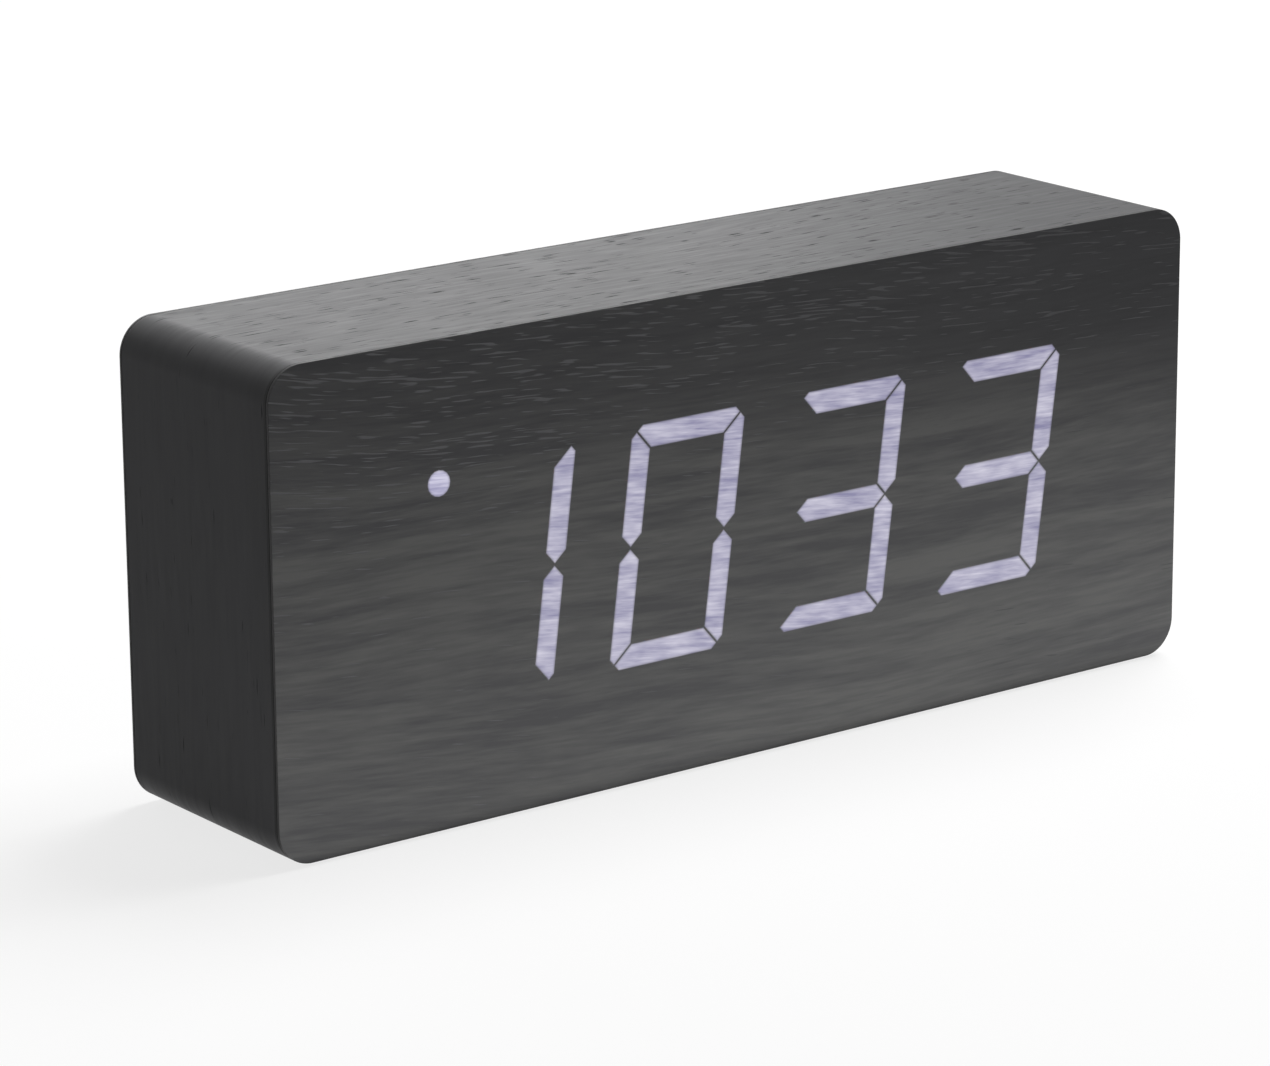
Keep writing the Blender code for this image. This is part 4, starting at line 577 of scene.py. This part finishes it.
bm = bmesh.new()
soft_plate(bm, wood_outline, [rear_opening], rear_high.y, rear_low.y, RIM_RADIUS)
as_piece("rear_leaf", bm, [rear_veneer_material()], "root", ["rear_veneer"])

# Feet: four discs of black EVA foam, die-cut from sheet and stuck on. Its closed cells show as a
# fine pebbled skin.


def softened(node, radius):
    """The shape of a CAD piece with its sharp edges rounded off."""
    bm = bmesh.new()
    bm.from_mesh(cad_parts[node].data)
    bmesh.ops.remove_doubles(bm, verts=bm.verts, dist=WELD_DISTANCE)
    bmesh.ops.dissolve_limit(bm, angle_limit=math.radians(1.0), verts=bm.verts, edges=bm.edges)
    sharp = [edge for edge in bm.edges if edge.calc_face_angle(0.0) > SHARP_ANGLE]
    bmesh.ops.bevel(
        bm,
        geom=sharp,
        offset=radius,
        offset_type="OFFSET",
        segments=2,
        profile=0.5,
        affect="EDGES",
        clamp_overlap=True,
    )
    bmesh.ops.remove_doubles(bm, verts=bm.verts, dist=WELD_DISTANCE / 2)
    bmesh.ops.dissolve_degenerate(bm, edges=bm.edges, dist=WELD_DISTANCE / 2)
    return bm


def even_piece(node, bm, material, body):
    """A piece in the place of its CAD node, whose large faces are shaded flat."""
    made = as_piece(node + "_piece", bm, [material], body, [node])
    made.modifiers.new("even_faces", "WEIGHTED_NORMAL").keep_sharp = True


def rounded_piece(node, radius, material, body):
    even_piece(node, softened(node, radius), material, body)


def foam_material():
    made, tree = new_material("eva_foam_black")
    place = add_node(tree, "TexCoord", output="Object")
    cells = add_node(tree, "TexVoronoi", {"Vector": place, "Scale": 1 / (0.35 * MM)}, "Distance")
    tones = {0: cells, 6: linear("#2b2b2c"), 7: linear("#1c1c1d")}
    colour = add_node(tree, "Mix", tones, 2, data_type="RGBA")
    normal = add_node(tree, "Bump", {"Strength": 0.5, "Distance": 0.05 * MM, "Height": cells})
    surface = add_node(
        tree,
        "BsdfPrincipled",
        {"Base Color": colour, "Roughness": 0.9, "Normal": normal, "Specular IOR Level": 0.3},
    )
    show(tree, surface)
    return made


foam = foam_material()
for number in range(1, 5):
    rounded_piece(f"foot_pad_{number}", 0.12 * MM, foam, "root")

# Display stack, screwed to the case's front wall from behind: a black mask of polystyrene, a
# white moulded reflector with a well for each light, and the board with its light chips.


def moulded_plastic(name, tones, roughness, grain, depth):
    """Injection-moulded plastic between two tones. Its mould was eroded to a matt grain of this size
    and depth. The real grain is about 0.1 mm and too fine to show, so it is drawn coarser."""
    made, tree = new_material(name)
    place = add_node(tree, "TexCoord", output="Object")
    flow = add_node(tree, "TexNoise", {"Vector": place, "Scale": 1 / (14 * MM), "Detail": 3.0})
    texture = add_node(
        tree, "TexNoise", {"Vector": place, "Scale": 1 / grain, "Detail": 2.0, "Roughness": 0.6}
    )
    tone = add_node(tree, "Math", {0: texture, 1: 0.8, 2: -0.4}, operation="MULTIPLY_ADD")
    tone = add_node(tree, "Math", {0: flow, 1: tone}, operation="ADD", use_clamp=True)
    dark, light = tones
    colour = add_node(tree, "Mix", {0: tone, 6: linear(dark), 7: linear(light)}, 2, data_type="RGBA")
    least, most = roughness - 0.06, roughness + 0.06
    matt = add_node(tree, "MapRange", {0: texture, 1: 0.3, 2: 0.7, 3: least, 4: most})
    normal = add_node(tree, "Bump", {"Strength": 0.5, "Distance": depth, "Height": texture})
    surface = add_node(
        tree,
        "BsdfPrincipled",
        {"Base Color": colour, "Roughness": matt, "Normal": normal, "Specular IOR Level": 0.35},
    )
    show(tree, surface)
    return made


def board_material():
    """Glass-fibre laminate under green solder resist: tracks show as paler raised lines below it."""
    made, tree = new_material("glass_laminate_green_resist")
    place = add_node(tree, "TexCoord", output="Object")
    flat = add_node(tree, "Mapping", {"Vector": place, "Rotation": (-math.pi / 2, 0.0, 0.0)})
    upright = add_node(tree, "Mapping", {"Vector": flat, "Rotation": (0.0, 0.0, math.pi / 2)})
    tracks = []
    for along, run, pitch in ((flat, 17 * MM, 2.3 * MM), (upright, 11 * MM, 4.1 * MM)):
        sizes = {"Mortar Size": 0.16 * MM, "Brick Width": run, "Row Height": pitch}
        bricks = {"Vector": along, "Scale": 1.0, "Mortar Smooth": 0.3, **sizes}
        tracks.append(add_node(tree, "TexBrick", bricks, "Fac"))
    copper = add_node(tree, "Math", {0: tracks[0], 1: tracks[1]}, operation="MAXIMUM")
    weave = add_node(tree, "TexNoise", {"Vector": place, "Scale": 1 / (0.7 * MM), "Detail": 1.0})
    tones = {0: weave, 6: linear("#0e3a22"), 7: linear("#12442a")}
    colour = add_node(tree, "Mix", tones, 2, data_type="RGBA")
    colour = add_node(tree, "Mix", {0: copper, 6: colour, 7: linear("#2a6b41")}, 2, data_type="RGBA")
    normal = add_node(tree, "Bump", {"Strength": 0.6, "Distance": 0.03 * MM, "Height": copper})
    surface = add_node(
        tree,
        "BsdfPrincipled",
        {"Base Color": colour, "Roughness": 0.35, "Normal": normal, "Specular IOR Level": 0.5},
    )
    show(tree, surface)
    return made


blacks, whites = ("#131314", "#1a1a1b"), ("#d9d8d4", "#e6e5e1")
mask_plastic = moulded_plastic("polystyrene_black_matt", blacks, 0.7, 0.4 * MM, 0.02 * MM)
white_plastic = moulded_plastic("abs_white_moulded", whites, 0.45, 0.5 * MM, 0.01 * MM)
laminate = board_material()
rounded_piece("display_mask", 0.08 * MM, mask_plastic, "root")
rounded_piece("reflector", 0.08 * MM, white_plastic, "root")
rounded_piece("display_connector", 0.15 * MM, white_plastic, "root")
finished("display_board", laminate)

# Screws: cold-headed steel, zinc plated, with rolled threads and a cross recess pressed into a
# pan head. Four hold the display, four the control board and four the cover.


def plated_metal(name, tones, roughness, length, width):
    """Plated or drawn metal between two tones, with fine marks of this length and width."""
    made, tree = new_material(name)
    place = add_node(tree, "TexCoord", output="Object")
    marks = drawn_out(tree, place, length, width, 3.0, 0.6)
    dark, light = tones
    colour = add_node(tree, "Mix", {0: marks, 6: linear(dark), 7: linear(light)}, 2, data_type="RGBA")
    least, most = roughness - 0.08, roughness + 0.08
    matt = add_node(tree, "MapRange", {0: marks, 1: 0.3, 2: 0.7, 3: least, 4: most})
    normal = add_node(tree, "Bump", {"Strength": 0.25, "Distance": 0.01 * MM, "Height": marks})
    surface = add_node(
        tree,
        "BsdfPrincipled",
        {"Base Color": colour, "Roughness": matt, "Normal": normal, "Metallic": 1.0},
    )
    show(tree, surface)
    return made


DISC_STEPS = 32
THREAD_PITCH = 0.7 * MM
THREAD_STEP = 0.175 * MM
THREAD_DEPTH = 0.16
DOME_STEPS = 6


def disc(centre, radius):
    x, z = centre
    turns = [math.tau * step / DISC_STEPS for step in range(DISC_STEPS)]
    return [(x + radius * math.cos(turn), z + radius * math.sin(turn)) for turn in turns]


def threaded(centre, radius, level):
    """Outline of a thread at one level: its crest turns with the level."""
    points = []
    for step, (x, z) in enumerate(disc(centre, radius)):
        crest = abs((level / THREAD_PITCH - step / DISC_STEPS) % 1.0 - 0.5) * 2
        share = 1 - THREAD_DEPTH * (1 - crest)
        points.append((centre[0] + (x - centre[0]) * share, centre[1] + (z - centre[1]) * share))
    return points


def cross(centre, reach, half):
    """Outline of a cross whose arms reach this far and are this wide from their middle."""
    points = []
    for quarter in range(4):
        cosine, sine = round(math.cos(quarter * math.pi / 2)), round(math.sin(quarter * math.pi / 2))
        for x, z in ((reach, -half), (reach, half), (half, half)):
            points.append((centre[0] + x * cosine - z * sine, centre[1] + x * sine + z * cosine))
    return points


def screw(node, shank, head, facing=1):
    """A screw in the place of its CAD node, whose head faces the rear or, with facing -1, the front."""
    low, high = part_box(node)
    centre = ((low.x + high.x) / 2, (low.z + high.z) / 2)
    radius = (high.x - low.x) / 2
    top, tip = (high.y, low.y) if facing > 0 else (low.y, high.y)
    length = abs(top - tip)
    bm = bmesh.new()
    rings = [ring(bm, disc(centre, shank / 2), tip)]
    for step in range(2, int((length - head) / THREAD_STEP)):
        level = tip + facing * step * THREAD_STEP
        rings.append(ring(bm, threaded(centre, shank * min(1.0, 0.5 + step / 8), level), level))
    neck = top - facing * head
    rings.append(ring(bm, disc(centre, shank), neck))
    rings.append(ring(bm, disc(centre, radius - 0.12 * MM), neck))
    for step in range(DOME_STEPS + 1):
        turn = math.pi / 2 * step / DOME_STEPS
        level = top - facing * head * (0.8 - 0.8 * math.sin(turn))
        rings.append(ring(bm, disc(centre, radius - 0.25 * radius * (1 - math.cos(turn))), level))
    rings.append(ring(bm, disc(centre, 0.75 * radius - RIM_GUARD), top))
    bridge(bm, rings)
    fill(bm, [rings[0]])
    reach, half = 0.62 * radius, 0.17 * radius
    recess = [(reach, half, 0.0), (reach - 0.05 * MM, half - 0.05 * MM, 0.07 * MM)]
    recess.append((reach * 0.5, half * 0.6, head * 0.85))
    recess = [ring(bm, cross(centre, far, wide), top - facing * depth) for far, wide, depth in recess]
    bridge(bm, recess)
    fill(bm, [rings[-1], recess[0]])
    fill(bm, [recess[-1]])
    as_piece(node + "_piece", bm, [zinc], "root", [node])


zinc = plated_metal("steel_zinc_plated", ("#77797c", "#96989b"), 0.38, 1.2 * MM, 0.5 * MM)
for number in range(1, 5):
    screw(f"display_screw_{number}", 1.0 * MM, 1.3 * MM)
    screw(f"board_screw_{number}", 1.0 * MM, 1.3 * MM, -1)
    screw(f"cover_screw_{number}", 1.25 * MM, 1.2 * MM)

# Rear cover: one black ABS moulding with a matt eroded grain. It holds the cell compartment, the
# button collars, the vents and the sound holes, and four screws draw it into its rebate.
black_abs = moulded_plastic("abs_black_eroded", ("#161617", "#1f1f20"), 0.55, 0.45 * MM, 0.03 * MM)
rounded_piece("rear_cover", 0.15 * MM, black_abs, "root")

# Door: the lid of the cell compartment, moulded as the cover. Four ribs give the finger a grip,
# and a raised arrow shows which way the tongue is pressed.
door_low, door_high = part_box("battery_door")
door_middle = (door_low.x + door_high.x) / 2
ARROW_RAISE = 0.35 * MM


def arrow(inset):
    """Outline of the raised arrow, a triangle that points down, away from the tongue."""
    top, half, drop = middle_z + 7.6 * MM, 3.2 * MM, 4.2 * MM
    corners = [(door_middle, top - drop), (door_middle + half, top), (door_middle - half, top)]
    return grown(corners, -inset)


bm = softened("battery_door", 0.10 * MM)
soft_plate(bm, arrow, [], cover_high.y + ARROW_RAISE, cover_high.y - 0.05 * MM, 0.15 * MM)
even_piece("battery_door", bm, black_abs, "door")

# Cells: three AAA cells in printed film sleeves, shrunk over the ends. The bare steel of the cap
# and of the foot shows nickel plated.


def film_material(name, tones):
    """Shrunk PVC film: glossy, with a faint ripple along the cell."""
    made, tree = new_material(name)
    place = add_node(tree, "TexCoord", output="Object")
    ripple = drawn_out(tree, place, 12 * MM, 1.5 * MM, 2.0)
    dark, light = tones
    colour = add_node(tree, "Mix", {0: ripple, 6: linear(dark), 7: linear(light)}, 2, data_type="RGBA")
    normal = add_node(tree, "Bump", {"Strength": 0.3, "Distance": 0.05 * MM, "Height": ripple})
    surface = add_node(
        tree, "BsdfPrincipled", {"Base Color": colour, "Roughness": 0.25, "Normal": normal}
    )
    show(tree, surface)
    return made


nickel = plated_metal("steel_nickel_plated", ("#b3afa6", "#ccc8bf"), 0.28, 2.0 * MM, 0.4 * MM)
films = [
    film_material("film_sleeve_graphite", ("#33373d", "#3b4047")),
    film_material("film_sleeve_silver", ("#a9adb2", "#b9bdc2")),
]
CELL_STEPS = 40
# Places along a cell and radii in millimetres, each with the film or the metal that follows it.
CELL_PROFILE = [
    (0.10, 0.0, 2), (0.10, 3.9, 2), (0.30, 4.1, 2), (0.05, 4.35, 0), (0.0, 4.7, 0),
    (0.12, 5.02, 0), (0.40, 5.2, 0), (30.0, 5.2, 1), (34.0, 5.2, 0), (43.25, 5.2, 0),
    (43.55, 5.02, 0), (43.65, 4.7, 0), (43.60, 4.35, 2), (43.35, 4.1, 2), (43.35, 2.0, 2),
    (43.50, 1.9, 2), (44.25, 1.9, 2), (44.44, 1.8, 2), (44.50, 1.5, 2), (44.50, 0.0, 2),
]
for number in range(1, 4):
    node = f"battery_{number}"
    low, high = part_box(node)
    turned_left = number % 2 == 0
    middle = (low + high) / 2
    bm = bmesh.new()
    rings = []
    for along, radius, finish in CELL_PROFILE:
        x = high.x - along * MM if turned_left else low.x + along * MM
        turns = [math.tau * step / CELL_STEPS for step in range(CELL_STEPS if radius else 1)]
        points = [(radius * MM * math.cos(turn), radius * MM * math.sin(turn)) for turn in turns]
        rings.append(([bm.verts.new((x, middle.y + y, middle.z + z)) for y, z in points], finish))
    for (first, finish), (second, _) in zip(rings, rings[1:]):
        for place in range(CELL_STEPS):
            after = (place + 1) % CELL_STEPS
            corners = [first[place % len(first)], first[after % len(first)]]
            corners += [second[after % len(second)], second[place % len(second)]]
            face = bm.faces.new(list(dict.fromkeys(corners)))
            face.material_index = finish
    as_piece(node + "_piece", bm, films + [nickel], "root", [node])

# Contacts and leads: pressed and coiled spring steel, nickel plated, pushed into slots at the
# compartment's ends. Two stranded wires in PVC sleeves run from them to the control board.
for name in ("contact_negative", "contact_positive", "contact_bridge_left", "contact_bridge_right"):
    rounded_piece(name, 0.05 * MM, nickel, "root")
red_sleeve = moulded_plastic("pvc_sleeve_red", ("#8f1414", "#a81c1a"), 0.4, 0.8 * MM, 0.01 * MM)
black_sleeve = moulded_plastic("pvc_sleeve_black", ("#151515", "#1e1e1e"), 0.4, 0.8 * MM, 0.01 * MM)
rounded_piece("battery_lead_red", 0.04 * MM, red_sleeve, "root")
rounded_piece("battery_lead_black", 0.04 * MM, black_sleeve, "root")

# Control board: the same laminate, with its chip, crystal, capacitor, buzzer, microphone, sensor
# and plug. Epoxy bodies are matt black, cans are drawn metal.
epoxy = moulded_plastic("epoxy_moulded_black", ("#1d1d1e", "#252526"), 0.6, 0.3 * MM, 0.015 * MM)
can_metal = plated_metal("aluminium_drawn_can", ("#b9babc", "#cfd0d2"), 0.30, 0.4 * MM, 2.0 * MM)
finished("control_board", laminate)
for name, radius, material, slot in (
    ("mcu_chip", 0.08 * MM, epoxy, "chip_plastic"),
    ("buzzer", 0.25 * MM, epoxy, "chip_plastic"),
    ("temperature_sensor", 0.08 * MM, epoxy, "chip_plastic"),
    ("crystal_can", 0.10 * MM, can_metal, "can_metal"),
    ("capacitor", 0.12 * MM, can_metal, "can_metal"),
    ("microphone", 0.15 * MM, can_metal, "can_metal"),
    ("control_connector", 0.15 * MM, white_plastic, "white_plastic"),
):
    rounded_piece(name, radius, material, "root")

# Ribbon cable: parallel tinned wires in grey PVC, pressed flat into one web, whose wires stand as
# ridges 1.27 mm apart.
WIRE_PITCH = 1.27 * MM


def ribbon_material():
    made, tree = new_material("pvc_ribbon_grey")
    place = add_node(tree, "TexCoord", output="Object")
    across = add_node(tree, "SeparateXYZ", {0: place}, "X")
    across = add_node(tree, "Math", {0: across, 1: WIRE_PITCH}, operation="PINGPONG")
    ridge = add_node(
        tree, "MapRange", {0: across, 1: 0.0, 2: WIRE_PITCH}, interpolation_type="SMOOTHSTEP"
    )
    cloud = add_node(tree, "TexNoise", {"Vector": place, "Scale": 1 / (5 * MM), "Detail": 2.0})
    tones = {0: cloud, 6: linear("#9a9b9d"), 7: linear("#a8a9ab")}
    colour = add_node(tree, "Mix", tones, 2, data_type="RGBA")
    # Painted shade: the grooves between the wires are darker.
    colour = add_node(tree, "Mix", {0: ridge, 6: linear("#7e7f81"), 7: colour}, 2, data_type="RGBA")
    normal = add_node(tree, "Bump", {"Strength": 0.8, "Distance": 0.3 * MM, "Height": ridge})
    surface = add_node(
        tree, "BsdfPrincipled", {"Base Color": colour, "Roughness": 0.45, "Normal": normal}
    )
    show(tree, surface)
    return made


rounded_piece("ribbon_cable", 0.05 * MM, ribbon_material(), "root")

# Buttons: three round ABS caps, smoother than the cover, each on a tact switch whose white plunger
# presses it back. Marks printed in pale ink tell them apart: a ring sets, and triangles go up
# and down. The ink is drawn thicker than its real 0.01 mm, so that it shows.
smooth_abs = moulded_plastic("abs_black_satin", ("#161617", "#1c1c1d"), 0.36, 0.5 * MM, 0.01 * MM)
INK = 0.05 * MM
pale_ink = moulded_plastic("pad_print_ink_pale", ("#b9b9b7", "#cdcdcb"), 0.5, 0.3 * MM, 0.01 * MM)


def round_mark(centre, radius):
    return lambda inset: disc(centre, radius - inset)


def triangle(centre, points_up):
    side = 1 if points_up else -1
    corners = ((-1.3, -0.7), (1.3, -0.7), (0.0, 1.4))
    corners = [(centre[0] + side * x * MM, centre[1] + side * z * MM) for x, z in corners]
    return lambda inset: grown(corners, -inset)


for name in ("set", "up", "down"):
    low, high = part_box(f"{name}_button")
    centre = ((low.x + high.x) / 2, (low.z + high.z) / 2)
    rounded_piece(f"{name}_button", 0.15 * MM, smooth_abs, f"{name}_key")
    if name == "set":
        outer, holes = round_mark(centre, 1.40 * MM), [round_mark(centre, 0.85 * MM)]
    else:
        outer, holes = triangle(centre, name == "up"), []
    bm = bmesh.new()
    soft_plate(bm, outer, holes, high.y + INK, high.y - INK, INK / 2)
    as_piece(f"{name}_mark", bm, [pale_ink], f"{name}_key")
    rounded_piece(f"{name}_plunger", 0.12 * MM, white_plastic, f"{name}_key")
    rounded_piece(f"{name}_switch", 0.12 * MM, epoxy, "root")

# Power socket: a micro-USB shell, folded from tinned steel sheet, soldered to the board and seen
# through its hole in the cover.
tinned = plated_metal("steel_sheet_tinned", ("#8d8e90", "#a9aaab"), 0.34, 0.8 * MM, 0.8 * MM)
rounded_piece("usb_socket", 0.06 * MM, tinned, "root")

# Floor: a plain pale sweep of painted board.
FLOOR_WHITE_SHARE = 0.78


def seen_by(tree):
    """Shares of being seen by the camera itself, and by it or through a mirror or a lens."""
    camera = add_node(tree, "LightPath", output="Is Camera Ray")
    seen = camera
    for way in ("Is Glossy Ray", "Is Transmission Ray"):
        seen = add_node(tree, "Math", {0: seen, 1: camera.node.outputs[way]}, operation="MAXIMUM")
    return camera, seen


def floor_material():
    made, tree = new_material("matt_white_board")
    camera, seen = seen_by(tree)
    tones = {0: camera, 6: linear("#a8a8a8"), 7: linear("#fafafa")}
    colour = add_node(tree, "Mix", tones, 2, data_type="RGBA")
    diffuse = add_node(tree, "BsdfDiffuse", {"Color": colour})
    light = add_node(tree, "Emission", {"Color": linear("#ffffff"), "Strength": 1.0})
    share = add_node(tree, "Math", {0: seen, 1: FLOOR_WHITE_SHARE}, operation="MULTIPLY")
    surface = add_node(tree, "MixShader", {0: share, 1: diffuse, 2: light})
    show(tree, surface)
    return made


bm = bmesh.new()
bmesh.ops.create_grid(bm, x_segments=1, y_segments=1, size=6.0)
mesh = bpy.data.meshes.new("floor")
bm.to_mesh(mesh)
bm.free()
floor = bpy.data.objects.new("floor", mesh)
bpy.context.scene.collection.objects.link(floor)
mesh.materials.append(floor_material())

# Studio light: a soft box overhead and behind, a low white reflector before the front, and a
# white room.
world = bpy.data.worlds.new("white_room")
bpy.context.scene.world = world
world.use_nodes = True
tree = world.node_tree
tree.nodes.clear()
dim = add_node(tree, "Background", {"Color": linear("#ffffff"), "Strength": 0.05})
white = add_node(tree, "Background", {"Color": linear("#ffffff"), "Strength": 1.0})
room = add_node(tree, "MixShader", {0: seen_by(tree)[1], 1: dim, 2: white})
show(tree, room, "World")


def soft_box(name, place, aim, size, power):
    lamp = bpy.data.lights.new(name, "AREA")
    lamp.shape = "RECTANGLE"
    lamp.size, lamp.size_y = size
    lamp.energy = power
    made = bpy.data.objects.new(name, lamp)
    made.location = place
    made.rotation_euler = (Vector(aim) - Vector(place)).to_track_quat("-Z", "Y").to_euler()
    made.visible_camera = False
    bpy.context.scene.collection.objects.link(made)


soft_box("overhead_box", (0.60, 0.10, 1.10), (0.0, 0.0, 0.05), (0.8, 0.8), 19.0)
soft_box("back_box", (0.34, 1.20, 0.50), (0.0, 0.0, 0.05), (1.2, 0.6), 5.6)
soft_box("low_reflector", (0.04, -0.075, 0.0004), (0.04, -0.075, 1.0), (0.40, 0.10), 0.16)

# Camera: a long lens to the left of the front and a little above, as in the photograph.
AZIMUTH, ELEVATION, ROLL = (math.radians(turn) for turn in (-37.17, 15.71, -0.409))
DISTANCE = 0.9472
TARGET = Vector((-0.00943, 0.0, 0.03938))
turn = Matrix.Rotation(AZIMUTH, 4, "Z") @ Matrix.Rotation(math.pi / 2 - ELEVATION, 4, "X")
lens = bpy.data.cameras.new("camera")
lens.sensor_width = 36.0
lens.lens = 144.7
camera = bpy.data.objects.new("camera", lens)
back = turn @ Vector((0.0, 0.0, DISTANCE))
camera.matrix_world = Matrix.Translation(TARGET + back) @ turn @ Matrix.Rotation(ROLL, 4, "Z")
bpy.context.scene.collection.objects.link(camera)
bpy.context.scene.camera = camera
bpy.context.scene.view_settings.view_transform = "Standard"
